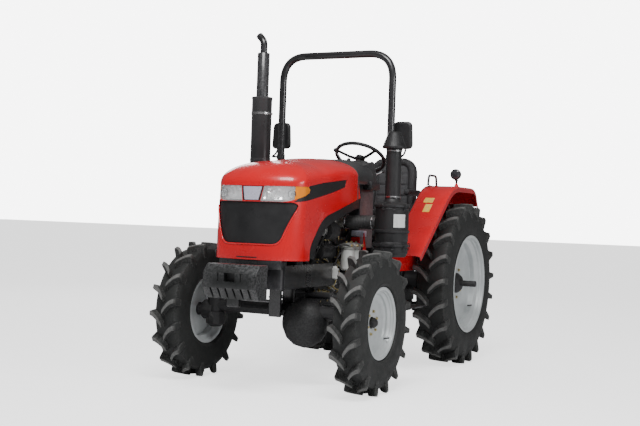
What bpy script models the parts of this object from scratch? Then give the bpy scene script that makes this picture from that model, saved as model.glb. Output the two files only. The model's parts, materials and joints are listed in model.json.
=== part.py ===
# Farm tractor with a fixed hoop over the driver, modelled in metres with +Z up.
# The front points to -Y and the tractor's left is +X.
# Every length below is measured from a point on the ground under the rear axle.
# The empty "tractor" then centres the whole machine on the origin.

import math

import bmesh
import bpy
from mathutils import Matrix, Vector

for old in list(bpy.data.objects):
    bpy.data.objects.remove(old, do_unlink=True)

# Fits that several pieces share
SEAT_GAP = 0.0003
PIN_GAP = 0.0003
OVERRUN = 0.02
SHEET = 0.006
ROUND_SIDES = 20
SMALL_SIDES = 10
SMOOTH_ANGLE = math.radians(35)

# Wheelbase and reach
WHEELBASE = 1.95
FRONT_REACH = 2.68
REAR_REACH = 0.90

# Rear wheels
REAR_TRACK_HALF = 0.608
REAR_TYRE_RADIUS = 0.673
REAR_TYRE_WIDTH = 0.277
REAR_RIM_RADIUS = 0.410
REAR_RIM_WIDTH = 0.264
REAR_LUG_HEIGHT = 0.055
REAR_LUG_TOP = 0.036
REAR_LUG_COUNT = 21
REAR_DISC_IN = 0.012
REAR_WELL_DEPTH = 0.042
REAR_HUB_RADIUS = 0.085
REAR_HUB_LENGTH = 0.052
REAR_SHAFT_RADIUS = 0.025
REAR_SHAFT_REACH = 0.793
REAR_HUB_BORE = 0.055

# Front wheels
FRONT_TRACK_HALF = 0.690
FRONT_TYRE_RADIUS = 0.490
FRONT_TYRE_WIDTH = 0.199
FRONT_RIM_RADIUS = 0.2486
FRONT_RIM_WIDTH = 0.160
FRONT_LUG_HEIGHT = 0.045
FRONT_LUG_TOP = 0.034
FRONT_LUG_COUNT = 16
FRONT_DISC_IN = 0.016
FRONT_WELL_DEPTH = 0.026
FRONT_HUB_RADIUS = 0.048
FRONT_HUB_LENGTH = 0.040
FRONT_HUB_BORE = 0.036

# Rims
FLANGE_HEIGHT = 0.018
RIM_WALL = 0.006
LUG_DRAFT = 0.014

# Bonnet, seen from above it is a box with rounded front corners
BONNET_REAR = 1.45
BONNET_FRONT = 2.40
BONNET_HALF = 0.338
BONNET_REAR_HALF = 0.330
BONNET_BOTTOM = 0.896
BONNET_SHOULDER_REAR = 1.500
BONNET_SHOULDER_FRONT = 1.395
BONNET_CROWN_REAR = 1.625
BONNET_CROWN_FRONT = 1.470
BONNET_CORNER = 0.13
BONNET_LEAN = 0.045
BONNET_BULGE = 0.055
BONNET_SHELL = 0.008
BONNET_PIVOT = 1.47
BONNET_PIVOT_HEIGHT = 1.585
HINGE_RADIUS = 0.0278
HINGE_HALF = 0.030

# Side opening of the bonnet, its lower edge sweeps up and back from the nose
ARCH_FRONT = 2.19
ARCH_FRONT_HEIGHT = 0.990
ARCH_REAR_HEIGHT = 1.335
ARCH_KNEE = 2.00
ARCH_KNEE_HEIGHT = 1.185
ARCH_RADIUS = 0.16

# Grille and headlamps in the nose
GRILLE_TOP_HALF = 0.300
GRILLE_BOTTOM_HALF = 0.215
GRILLE_TOP = 1.268
GRILLE_BOTTOM = 1.000
GRILLE_CORNER = 0.05
GRILLE_FLANGE = 0.010
GRILLE_WALL = 0.010
LAMP_TOP = 1.392
LAMP_BOTTOM = 1.288
LAMP_INNER_TOP = 0.085
LAMP_INNER_BOTTOM = 0.068
LAMP_OUTER_REACH = 2.12
LAMP_WALL = 0.030
LAMP_RECESS = 0.004

# Engine, gearbox and rear axle
ENGINE_FRONT = 1.78
ENGINE_REAR = 1.16
ENGINE_HALF = 0.155
ENGINE_BOTTOM = 0.640
ENGINE_TOP = 1.130
HEAD_HALF = 0.115
HEAD_TOP = 1.260
SUMP_BOTTOM = 0.520
SUMP_FRONT = 1.64
SUMP_HALF = 0.120
GEARBOX_HALF = 0.150
GEARBOX_BOTTOM = 0.520
GEARBOX_TOP = 0.900
AXLE_HOUSING_FRONT = 0.24
AXLE_HOUSING_REAR = 0.20
AXLE_HOUSING_HALF = 0.170
AXLE_HOUSING_BOTTOM = 0.480
AXLE_HOUSING_TOP = 0.960
TRUMPET_RADIUS = 0.080
TRUMPET_REACH = 0.400
TRUMPET_FLANGE = 0.115
TRUMPET_FLANGE_LENGTH = 0.045
PTO_HEIGHT = 0.600
PTO_RADIUS = 0.0175
PTO_REACH = 0.290
DRAWBAR_HEIGHT = 0.400
DRAWBAR_THICK = 0.030
DRAWBAR_HALF = 0.040
DRAWBAR_REACH = 0.480

# Radiator
RADIATOR_FRONT = 2.16
RADIATOR_REAR = 2.08
RADIATOR_HALF = 0.225
RADIATOR_TOP = 1.340
SHROUD_RADIUS = 0.190
SHROUD_DEPTH = 0.070

# Front frame and ballast
RAIL_INNER = ENGINE_HALF + SEAT_GAP
RAIL_OUTER = 0.215
RAIL_BOTTOM = 0.700
RAIL_TOP = 0.862
RAIL_FRONT = 2.396
RAIL_REAR = 1.56
APRON_DEPTH = 0.050
APRON_HALF = 0.240
PIVOT_HALF = 0.045
PIVOT_DEPTH = 0.110
PIVOT_PIN_RADIUS = 0.028
WEIGHT_HALF = 0.200
WEIGHT_TOP = 0.867
WEIGHT_BOTTOM = 0.642
WEIGHT_DEPTH = 0.150
WEIGHT_LEAN = 0.050
WEIGHT_WINDOW_HALF = 0.041
WEIGHT_WINDOW_BOTTOM = 0.755
WEIGHT_WINDOW_TOP = 0.812
WEIGHT_SLOT = 0.010
WEIGHT_SLOT_PLACE = 0.085
WEIGHT_FINGERS = 7
FINGER_GAP = 0.012
FINGER_HEIGHT = 0.070
HOOK_HALF = 0.045
HOOK_BOTTOM = 0.590
HOOK_THICK = 0.040

# Front axle, its knuckles and the linkage that steers them
KINGPIN_HALF = 0.545
BEAM_HEIGHT = 0.530
BEAM_RADIUS = 0.045
PUMPKIN_PLACE = 0.190
PUMPKIN_HEIGHT = 0.450
PUMPKIN_WIDE = 0.170
PUMPKIN_DEEP = 0.130
PUMPKIN_TALL = 0.175
KINGPIN_RADIUS = 0.060
KINGPIN_CAP_TOP = 0.655
KNUCKLE_TOP = 0.478
KNUCKLE_BOTTOM = 0.370
KNUCKLE_RADIUS = 0.070
KNUCKLE_BOSS = 0.072
ARM_LENGTH = 0.240
ARM_HALF = 0.022
ARM_THICK = 0.022
TIE_ROD_RADIUS = 0.012
TIE_ROD_HEIGHT = 0.560
BALL_RADIUS = 0.020
CYLINDER_HEIGHT = 0.640
CYLINDER_RADIUS = 0.026
CYLINDER_ROD_RADIUS = 0.011
CYLINDER_ANCHOR = 0.130
CYLINDER_SET_BACK = 0.110
CYLINDER_YOKE = 0.026
PROP_SHAFT_RADIUS = 0.028
PROP_SHAFT_REAR = 0.70

# Exhaust on the tractor's right
STACK_PLACE = -0.430
STACK_SET_BACK = 1.58
STACK_BOTTOM = 1.100
STACK_MUFFLER_TOP = 2.085
STACK_MUFFLER_RADIUS = 0.0765
STACK_PIPE_RADIUS = 0.0465
STACK_PIPE_TOP = 2.420
STACK_TIP_RADIUS = 0.0275
STACK_TOP = 2.574
STACK_TIP_BEND = 0.045

# Air cleaner on the tractor's left
CLEANER_PLACE = 0.570
CLEANER_SET_BACK = 1.350
CLEANER_BOTTOM = 0.920
CLEANER_TOP = 1.300
CLEANER_RADIUS = 0.122
CLEANER_RING = 0.132
CLEANER_RING_HEIGHT = 0.018
CLEANER_NECK_TOP = 1.335
CLEANER_PIPE_RADIUS = 0.0555
CLEANER_CAP_BOTTOM = 1.715
CLEANER_CAP_TOP = 1.840
CLEANER_CAP_RADIUS = 0.0865
CLEANER_CAP_FLAT = 0.0375
HOSE_RADIUS = 0.052
HOSE_HEIGHT = 1.165
HOSE_INNER = 0.235
FILTER_RADIUS = 0.048
FILTER_PLACE = 0.260
FILTER_SET_BACK = 1.46
FILTER_BOTTOM = 0.800
FILTER_TOP = 0.905
FILTER_HEAD_TOP = 0.965

# Dash, steering column and wheel
DASH_FRONT = 1.42
DASH_REAR = 0.82
DASH_HALF = 0.215
DASH_SHOULDER = 1.500
DASH_TOP = 1.640
DASH_WALL_REAR = 0.90
COLUMN_RADIUS = 0.028
WHEEL_RIM_RADIUS = 0.200
WHEEL_TUBE = 0.014
WHEEL_HUB_RADIUS = 0.040
WHEEL_SET_BACK = 0.690
WHEEL_HEIGHT = 1.690
WHEEL_TILT_DEG = 31

# Safety hoop and mirrors
HOOP_SET_BACK = 1.185
HOOP_HALF = 0.4685
HOOP_TOP = 2.449
HOOP_RADIUS = 0.0285
HOOP_BEND = 0.180
HOOP_BOTTOM = 0.800
HOOP_FOOT = 0.055
MIRROR_PLACE = 0.523
MIRROR_SET_BACK = 1.085
MIRROR_BOTTOM = 1.730
MIRROR_TOP = 1.940
MIRROR_HALF = 0.085
MIRROR_THICK = 0.030
MIRROR_STALK = 0.009

# Driver's seat
SEAT_FRONT = 0.520
SEAT_REAR = 0.060
SEAT_HALF = 0.225
SEAT_BOTTOM = 1.150
SEAT_TOP = 1.270
SEAT_BACK_TOP = 1.735
SEAT_BACK_THICK = 0.120
SEAT_BACK_LEAN = 0.070
SEAT_BASE_HALF = 0.150
SEAT_CORNER = 0.05

# Mudguards and floor
FENDER_INNER = 0.430
FENDER_OUTER = 0.690
FENDER_FRONT = 1.070
FENDER_FRONT_HEIGHT = 0.925
FENDER_KNEE = 0.360
FENDER_TOP = 1.486
FENDER_HIP = -0.240
FENDER_REAR = -0.330
FENDER_REAR_HEIGHT = 1.330
FENDER_BEND = 0.110
FENDER_FLANGE = 0.045
FENDER_WALL_BOTTOM = 0.788
FENDER_LAMP_PLACE = 0.570
FENDER_LAMP_SET_BACK = -0.060
FENDER_LAMP_HEIGHT = 1.595
FENDER_LAMP_RADIUS = 0.058
FENDER_LAMP_DEEP = 0.060
RAIL_HANDLE_RADIUS = 0.010
HANDLE_PLACE = 0.450
HANDLE_FRONT = 0.300
HANDLE_REAR = 0.100
HANDLE_HEIGHT = 0.085
FLOOR_HEIGHT = 0.800
FLOOR_THICK = 0.012
FLOOR_FRONT = 1.130
FLOOR_REAR = 0.300
FLOOR_HALF = FENDER_INNER - SEAT_GAP
STEP_OUTER = 0.640
STEP_HEIGHT = 0.520
STEP_FRONT = 1.000
STEP_REAR = 0.760

# Three-point linkage
LINK_PIVOT_HALF = 0.200
LINK_END_HALF = 0.360
LINK_PIVOT_REAR = 0.120
LINK_PIVOT_HEIGHT = 0.440
LINK_THICK = 0.024
LINK_DEEP = 0.060
LINK_EYE = 0.040
LIFT_POINT_REAR = 0.440
ROCKER_HEIGHT = 1.030
ROCKER_RADIUS = 0.032
LIFT_ARM_THICK = 0.022
LIFT_ARM_DEEP = 0.055
LIFT_ROD_RADIUS = 0.014
TOP_LINK_PIVOT_REAR = 0.260
TOP_LINK_HEIGHT = 0.850
TOP_LINK_END_REAR = 0.720
TOP_LINK_END_HEIGHT = 0.760
TOP_LINK_RADIUS = 0.016

# Paint and finish: red, green, blue, roughness, metallic
FINISHES = {
    "red_paint": (0.62, 0.012, 0.016, 0.25, 0.0),
    "black_paint": (0.012, 0.012, 0.013, 0.40, 0.0),
    "cast_black": (0.022, 0.023, 0.024, 0.60, 0.2),
    "black_plastic": (0.018, 0.018, 0.020, 0.50, 0.0),
    "rubber": (0.022, 0.023, 0.022, 0.75, 0.0),
    "tyre": (0.020, 0.021, 0.020, 0.80, 0.0),
    "rim_silver": (0.58, 0.60, 0.60, 0.35, 0.6),
    "steel": (0.45, 0.45, 0.46, 0.30, 1.0),
    "filter_white": (0.75, 0.75, 0.73, 0.45, 0.0),
    "lamp_clear": (0.70, 0.72, 0.75, 0.10, 0.0),
    "seat_vinyl": (0.025, 0.025, 0.027, 0.55, 0.0),
}


def finish(name):
    """Return the material with this finish, made on first use."""
    known = bpy.data.materials.get(name)
    if known:
        return known
    red, green, blue, roughness, metallic = FINISHES[name]
    material = bpy.data.materials.new(name)
    material.use_nodes = True
    shader = material.node_tree.nodes["Principled BSDF"]
    shader.inputs["Base Color"].default_value = (red, green, blue, 1)
    shader.inputs["Roughness"].default_value = roughness
    shader.inputs["Metallic"].default_value = metallic
    material.diffuse_color = (red, green, blue, 1)
    return material


def to_object(name, form, surface):
    """Turn a bmesh into an object with outward faces and smooth round sides."""
    bmesh.ops.recalc_face_normals(form, faces=form.faces)
    mesh = bpy.data.meshes.new(name)
    form.to_mesh(mesh)
    form.free()
    piece = bpy.data.objects.new(name, mesh)
    bpy.context.scene.collection.objects.link(piece)
    mesh.materials.append(finish(surface))
    mesh.shade_smooth()
    mesh.set_sharp_from_angle(angle=SMOOTH_ANGLE)
    return piece


def combine(body, tool, operation):
    """Join, cut or intersect one solid with another and drop the tool."""
    modifier = body.modifiers.new(operation.title(), "BOOLEAN")
    modifier.operation = operation
    modifier.solver = "EXACT"
    modifier.object = tool
    bpy.context.view_layer.update()
    graph = bpy.context.evaluated_depsgraph_get()
    result = bpy.data.meshes.new_from_object(body.evaluated_get(graph))
    body.modifiers.clear()
    body.data = result
    bpy.data.objects.remove(tool, do_unlink=True)
    result.materials.clear()
    result.materials.append(body_finish[body.name])
    for face in result.polygons:
        face.material_index = 0
    result.set_sharp_from_angle(angle=SMOOTH_ANGLE)
    return body


body_finish = {}


def solid(name, surface, joined, cut=()):
    """Unite the joined solids into one node and take the cut ones away."""
    body = to_object(name, joined[0], surface)
    body_finish[name] = finish(surface)
    for form in joined[1:]:
        combine(body, to_object("tool", form, surface), "UNION")
    for form in cut:
        combine(body, to_object("tool", form, surface), "DIFFERENCE")
    return body


def mirrored(piece, name):
    """Copy a left-hand piece to the right-hand side."""
    mesh = piece.data.copy()
    mesh.transform(Matrix.Scale(-1, 4, (1, 0, 0)))
    mesh.flip_normals()
    copy = bpy.data.objects.new(name, mesh)
    bpy.context.scene.collection.objects.link(copy)
    return copy


def box(low, high):
    """Make a block between two corners."""
    form = bmesh.new()
    bmesh.ops.create_cube(form, size=1)
    low = Vector(low)
    high = Vector(high)
    for vertex in form.verts:
        vertex.co = [
            (low[i] + high[i]) / 2 + vertex.co[i] * (high[i] - low[i]) for i in range(3)
        ]
    return form


def soft_box(low, high, radius, steps=2, edges=None):
    """Make a block with rounded edges."""
    form = box(low, high)
    chosen = [edge for edge in form.edges if edges is None or edges(edge)]
    bmesh.ops.bevel(
        form, geom=chosen, offset=radius, segments=steps, profile=0.5, affect="EDGES"
    )
    return form


def along(axis, first, second, depth):
    """Place a flat point and a depth on the plane across an axis."""
    if axis == "X":
        return (depth, first, second)
    if axis == "Y":
        return (first, depth, second)
    return (first, second, depth)


def prism(outline, axis, start, end):
    """Push a flat outline along an axis: (y, z) for X, (x, z) for Y, (x, y) for Z."""
    form = bmesh.new()
    near = [form.verts.new(along(axis, u, v, start)) for u, v in outline]
    far = [form.verts.new(along(axis, u, v, end)) for u, v in outline]
    form.faces.new(near)
    form.faces.new(far)
    for i in range(len(outline)):
        j = (i + 1) % len(outline)
        form.faces.new((near[i], near[j], far[j], far[i]))
    return form


def turned(profile, axis, centre, sides=ROUND_SIDES, closed=False, phase=0.0):
    """Spin a profile of (along, radius) points; a closed one makes a ring."""
    form = bmesh.new()
    centre = Vector(centre)
    rings = []
    for place, radius in profile:
        if radius == 0:
            rings.append([form.verts.new(centre + Vector(along(axis, 0, 0, place)))])
            continue
        ring = []
        for i in range(sides):
            angle = phase + 2 * math.pi * i / sides
            u = radius * math.cos(angle)
            v = radius * math.sin(angle)
            ring.append(form.verts.new(centre + Vector(along(axis, u, v, place))))
        rings.append(ring)
    pairs = list(zip(rings, rings[1:]))
    if closed:
        pairs.append((rings[-1], rings[0]))
    for first, second in pairs:
        bridge(form, first, second, sides)
    if not closed:
        for ring in (rings[0], rings[-1]):
            if len(ring) > 1:
                form.faces.new(ring)
    return form


def bridge(form, first, second, sides):
    """Fill the wall between two rings, either of which may be one point."""
    for i in range(sides):
        j = (i + 1) % sides
        if len(first) == 1:
            form.faces.new((first[0], second[i], second[j]))
        elif len(second) == 1:
            form.faces.new((first[i], first[j], second[0]))
        else:
            form.faces.new((first[i], first[j], second[j], second[i]))


def cylinder(axis, centre, radius, start, end, sides=SMALL_SIDES):
    """Make a round bar along an axis; centre gives the other two places."""
    return turned([(start, radius), (end, radius)], axis, centre, sides)


def bent(points, radius, steps=3):
    """Round the inner corners of a path by a bend radius."""
    path = [Vector(points[0])]
    for before, corner, after in zip(points, points[1:], points[2:]):
        corner = Vector(corner)
        back = (Vector(before) - corner).normalized()
        ahead = (Vector(after) - corner).normalized()
        half = back.angle(ahead) / 2
        reach = radius / math.tan(half)
        middle = corner + (back + ahead).normalized() * radius / math.sin(half)
        start = corner + back * reach - middle
        end = corner + ahead * reach - middle
        turn = start.angle(end)
        for i in range(steps + 1):
            share = i / steps
            arm = (
                math.sin((1 - share) * turn) * start + math.sin(share * turn) * end
            ) / math.sin(turn)
            path.append(middle + arm)
    path.append(Vector(points[-1]))
    return path


def tube(points, radius, sides=8):
    """Sweep a round section along a path with flat ends."""
    form = bmesh.new()
    points = [Vector(point) for point in points]
    rings = []
    side = None
    for i, point in enumerate(points):
        before = (point - points[i - 1]).normalized() if i else None
        after = (points[i + 1] - point).normalized() if i + 1 < len(points) else None
        heading = (before or after) + (after or before)
        heading.normalize()
        if side is None:
            side = heading.orthogonal().normalized()
        side = (side - heading * side.dot(heading)).normalized()
        other = heading.cross(side)
        ring = []
        for k in range(sides):
            angle = 2 * math.pi * (k + 0.5) / sides
            offset = side * math.cos(angle) + other * math.sin(angle)
            ring.append(form.verts.new(point + offset * radius))
        rings.append(ring)
    for first, second in zip(rings, rings[1:]):
        bridge(form, first, second, sides)
    form.faces.new(rings[0])
    form.faces.new(rings[-1])
    return form


def rounded(points, radius, steps=3):
    """Round every corner of a closed flat outline."""
    outline = []
    count = len(points)
    for i in range(count):
        corner = Vector(points[i])
        back = (Vector(points[i - 1]) - corner).normalized()
        ahead = (Vector(points[(i + 1) % count]) - corner).normalized()
        half = back.angle(ahead) / 2
        reach = radius / math.tan(half)
        middle = corner + (back + ahead).normalized() * radius / math.sin(half)
        start = corner + back * reach - middle
        end = corner + ahead * reach - middle
        turn = start.angle(end)
        for k in range(steps + 1):
            share = k / steps
            arm = (
                math.sin((1 - share) * turn) * start + math.sin(share * turn) * end
            ) / math.sin(turn)
            outline.append(tuple(middle + arm))
    return outline


def running_bore(radius, sides=SMALL_SIDES):
    """Return the corner radius of a hole whose flats clear a bar that turns in it."""
    return (radius + PIN_GAP) / math.cos(math.pi / sides)


def round_height(radius, sides=SMALL_SIDES):
    """Return how far up and down a round bar's corners reach."""
    return radius * math.sin(math.pi / 2 - math.pi / 2 / (sides / 2))


def bar_with_eyes(start, end, half_width, axis, low, high, sides=8):
    """Make a flat link whose round ends are centred on two points."""
    first = Vector(start)
    second = Vector(end)
    heading = (second - first).normalized()
    turn = math.atan2(heading.y, heading.x)
    outline = []
    for centre, begin in ((second, turn - math.pi / 2), (first, turn + math.pi / 2)):
        for i in range(sides + 1):
            angle = begin + math.pi * i / sides
            point = centre + half_width * Vector((math.cos(angle), math.sin(angle)))
            outline.append(tuple(point))
    return prism(outline, axis, low, high)


# Tyres

# Tread rows from the crown to the sidewall, as shares of half width and lug height
# columns: row, share of half width, depth below the tip as a share of lug height
TREAD_ROW_SHARES = (
    ("crown", 0.0, 1.0),
    ("shoulder", 0.80, 1.12),
    ("flank", 0.93, 1.95),
)
LUG_ROW_SHARES = (
    ("crown", 0.03, 0.0),
    ("shoulder", 0.97, 0.04),
    ("flank", 1.0, 1.45),
)
SIDEWALL_SHARE = 0.90
SIDEWALL_HEIGHT_SHARE = 0.45
BEAD_WIDTH_SHARE = 0.985
LUG_SLANT_SHARE = 0.55
LUG_BASE_SHARE = 1.35


def rolling_height(radius, lug_top):
    """Return the axle height of a wheel that stands on one lug's flat top."""
    return math.sqrt(radius**2 - (lug_top / 2) ** 2)


def tyre(name, centre, radius, width, rim_radius, rim_width, lug_height, lug_top, lugs):
    """Make a tyre as one ring with tall lugs, staggered left and right."""
    form = bmesh.new()
    half = width / 2
    seat = rim_radius - FLANGE_HEIGHT + SEAT_GAP
    bead_half = rim_width / 2 - RIM_WALL - SEAT_GAP
    pitch = 2 * math.pi / lugs
    slant = pitch * LUG_SLANT_SHARE
    top_angle = lug_top / 2 / radius
    base_angle = top_angle * LUG_BASE_SHARE + LUG_DRAFT / 2 / radius
    start = -math.pi / 2

    def place(x, distance, angle):
        u = distance * math.cos(start + angle)
        v = distance * math.sin(start + angle)
        return form.verts.new(Vector(centre) + Vector((x, u, v)))

    def tread_angle(share, k, side):
        return k * pitch + (pitch / 2 if side < 0 else 0) - slant * share

    tread = {}
    for side in (1, -1):
        for row, share, depth in TREAD_ROW_SHARES:
            if row == "crown" and side < 0:
                continue
            distance = radius - depth * lug_height
            for k in range(lugs):
                for column, lug_side in ((0, 1), (2, -1)):
                    middle = tread_angle(share, k, lug_side)
                    for step in (0, 1):
                        angle = middle + (2 * step - 1) * base_angle
                        tread[side, row, k, column + step] = place(
                            side * share * half, distance, angle
                        )
    for row in ("crown",):
        for k in range(lugs):
            for column in range(4):
                tread[-1, row, k, column] = tread[1, row, k, column]

    wall = {}
    middle_radius = seat + SIDEWALL_HEIGHT_SHARE * (radius - 2 * lug_height - seat)
    for side in (1, -1):
        for row, x, distance in (
            ("wall", SIDEWALL_SHARE * half, middle_radius),
            ("bead", bead_half, seat),
        ):
            for k in range(lugs):
                for column, lug_side in ((0, 1), (1, -1)):
                    angle = tread_angle(TREAD_ROW_SHARES[-1][1], k, lug_side)
                    wall[side, row, k, column] = place(side * x, distance, angle)

    rows = [row for row, _, _ in TREAD_ROW_SHARES]
    for side in (1, -1):
        lug_column = 0 if side > 0 else 2
        for upper, lower in zip(rows, rows[1:]):
            for k in range(lugs):
                for column in range(4):
                    if column == lug_column:
                        continue
                    after = (k, column + 1) if column < 3 else ((k + 1) % lugs, 0)
                    form.faces.new((
                        tread[side, upper, k, column],
                        tread[(side, upper) + after],
                        tread[(side, lower) + after],
                        tread[side, lower, k, column],
                    ))
        for k in range(lugs):
            following = (k + 1) % lugs
            here = [tread[side, "flank", k, column] for column in range(4)]
            here.append(tread[side, "flank", following, 0])
            first = wall[side, "wall", k, 0]
            second = wall[side, "wall", k, 1]
            third = wall[side, "wall", following, 0]
            form.faces.new((first, here[0], here[1]))
            form.faces.new((first, here[1], here[2], second))
            form.faces.new((second, here[2], here[3]))
            form.faces.new((second, here[3], here[4], third))
            for column in range(2):
                after = (k, 1) if column == 0 else (following, 0)
                form.faces.new((
                    wall[side, "wall", k, column],
                    wall[(side, "wall") + after],
                    wall[(side, "bead") + after],
                    wall[side, "bead", k, column],
                ))
                if side > 0:
                    form.faces.new((
                        wall[side, "bead", k, column],
                        wall[(side, "bead") + after],
                        wall[(-side, "bead") + after],
                        wall[-side, "bead", k, column],
                    ))
        for k in range(lugs):
            add_lug(form, tread, place, tread_angle, side, k, lug_column, radius, half,
                    lug_height, top_angle)
    return to_object(name, form, "tyre")


def add_lug(form, tread, place, tread_angle, side, k, column, radius, half, lug_height,
            top_angle):
    """Raise one lug over its two patches of tread."""
    top = {}
    for (row, share, depth), (_, base_share, _) in zip(LUG_ROW_SHARES, TREAD_ROW_SHARES):
        middle = tread_angle(base_share, k, side)
        for step in (0, 1):
            angle = middle + (2 * step - 1) * top_angle
            distance = radius - depth * lug_height
            top[row, step] = place(side * share * half, distance, angle)
    rows = [row for row, _, _ in LUG_ROW_SHARES]
    for upper, lower in zip(rows, rows[1:]):
        form.faces.new((top[upper, 0], top[upper, 1], top[lower, 1], top[lower, 0]))
        for step in (0, 1):
            form.faces.new((
                top[upper, step],
                top[lower, step],
                tread[side, lower, k, column + step],
                tread[side, upper, k, column + step],
            ))
    for row in (rows[0], rows[-1]):
        form.faces.new((
            top[row, 0],
            top[row, 1],
            tread[side, row, k, column + 1],
            tread[side, row, k, column],
        ))


def bead_phase(lugs):
    """Return the angle of the tyre's first bead corner, which the rim's corners share."""
    pitch = 2 * math.pi / lugs
    return -math.pi / 2 - pitch * LUG_SLANT_SHARE * TREAD_ROW_SHARES[-1][1]


def rim(name, centre, rim_radius, rim_width, well_depth, disc_in, bore, sides, phase):
    """Turn a dropped-centre rim with its disc, for the left-hand side."""
    half = rim_width / 2
    seat = rim_radius - FLANGE_HEIGHT
    well = seat - well_depth
    ledge = half * RIM_LEDGE_SHARE
    floor = half * RIM_FLOOR_SHARE
    inner_seat = seat - RIM_WALL
    inner_well = well - RIM_WALL
    profile = [
        (-half, rim_radius),
        (-half + RIM_WALL, seat),
        (-ledge, seat),
        (-floor, well),
        (floor, well),
        (ledge, seat),
        (half - RIM_WALL, seat),
        (half, rim_radius),
        (half, inner_seat),
        (ledge, inner_seat),
        (floor, inner_well),
        (disc_in + RIM_WALL, inner_well),
        (RIM_WALL, inner_well * DISC_STEP_SHARE),
        (RIM_WALL, bore),
        (0, bore),
        (0, inner_well * DISC_STEP_SHARE),
        (disc_in, inner_well),
        (-floor, inner_well),
        (-ledge, inner_seat),
        (-half, inner_seat),
    ]
    form = turned(profile, "X", centre, sides, closed=True, phase=phase)
    return to_object(name, form, "rim_silver")


RIM_LEDGE_SHARE = 0.62
RIM_FLOOR_SHARE = 0.46
DISC_STEP_SHARE = 0.80

FRONT_AXLE_HEIGHT = rolling_height(FRONT_TYRE_RADIUS, FRONT_LUG_TOP)
REAR_AXLE_HEIGHT = rolling_height(REAR_TYRE_RADIUS, REAR_LUG_TOP)
REAR_AXLE = (0, 0, REAR_AXLE_HEIGHT)
FRONT_AXLE = (0, -WHEELBASE, FRONT_AXLE_HEIGHT)


def make_rear_wheel():
    """Build the left rear wheel: tyre, rim and the black hub with its long shaft."""
    centre = (REAR_TRACK_HALF, 0, REAR_AXLE_HEIGHT)
    rubber = tyre("rear_tyre_left", centre, REAR_TYRE_RADIUS, REAR_TYRE_WIDTH,
                  REAR_RIM_RADIUS, REAR_RIM_WIDTH, REAR_LUG_HEIGHT, REAR_LUG_TOP,
                  REAR_LUG_COUNT)
    steel = rim("rear_rim_left", centre, REAR_RIM_RADIUS, REAR_RIM_WIDTH,
                REAR_WELL_DEPTH, REAR_DISC_IN, REAR_HUB_BORE, REAR_LUG_COUNT,
                bead_phase(REAR_LUG_COUNT))
    disc_face = REAR_TRACK_HALF + RIM_WALL
    shaft_start = TRUMPET_REACH + PIN_GAP
    hub = turned([
        (shaft_start, REAR_SHAFT_RADIUS),
        (REAR_TRACK_HALF - REAR_HUB_LENGTH, REAR_SHAFT_RADIUS),
        (REAR_TRACK_HALF - REAR_HUB_LENGTH, REAR_HUB_BORE - SEAT_GAP),
        (disc_face + SEAT_GAP, REAR_HUB_BORE - SEAT_GAP),
        (disc_face + SEAT_GAP, REAR_HUB_RADIUS),
        (disc_face + REAR_HUB_LENGTH / 3, REAR_HUB_RADIUS),
        (disc_face + REAR_HUB_LENGTH, REAR_HUB_BORE),
        (disc_face + REAR_HUB_LENGTH, REAR_SHAFT_RADIUS),
        (REAR_SHAFT_REACH, REAR_SHAFT_RADIUS),
    ], "X", REAR_AXLE, REAR_LUG_COUNT, phase=bead_phase(REAR_LUG_COUNT))
    black = to_object("rear_hub_left", hub, "cast_black")
    return [rubber, steel, black]


def make_front_wheel():
    """Build the left front wheel: tyre and rim, then the hub on the knuckle's shaft."""
    centre = (FRONT_TRACK_HALF, -WHEELBASE, FRONT_AXLE_HEIGHT)
    rubber = tyre("front_tyre_left", centre, FRONT_TYRE_RADIUS, FRONT_TYRE_WIDTH,
                  FRONT_RIM_RADIUS, FRONT_RIM_WIDTH, FRONT_LUG_HEIGHT, FRONT_LUG_TOP,
                  FRONT_LUG_COUNT)
    steel = rim("front_rim_left", centre, FRONT_RIM_RADIUS, FRONT_RIM_WIDTH,
                FRONT_WELL_DEPTH, FRONT_DISC_IN, FRONT_HUB_BORE, FRONT_LUG_COUNT,
                bead_phase(FRONT_LUG_COUNT))
    disc_face = FRONT_TRACK_HALF + RIM_WALL
    hub = turned([
        (HUB_FACE + PIN_GAP, FRONT_HUB_BORE),
        (FRONT_TRACK_HALF - SEAT_GAP, FRONT_HUB_RADIUS),
        (FRONT_TRACK_HALF - SEAT_GAP, FRONT_HUB_BORE - SEAT_GAP),
        (disc_face + FRONT_HUB_LENGTH / 2, FRONT_HUB_BORE - SEAT_GAP),
        (disc_face + FRONT_HUB_LENGTH, FRONT_HUB_BORE / 2),
    ], "X", FRONT_AXLE, FRONT_LUG_COUNT, phase=bead_phase(FRONT_LUG_COUNT))
    black = to_object("front_hub_left", hub, "cast_black")
    return [rubber, steel, black]


HUB_FACE = KINGPIN_HALF + KNUCKLE_RADIUS + ARM_THICK


# Front axle and steering

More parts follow.
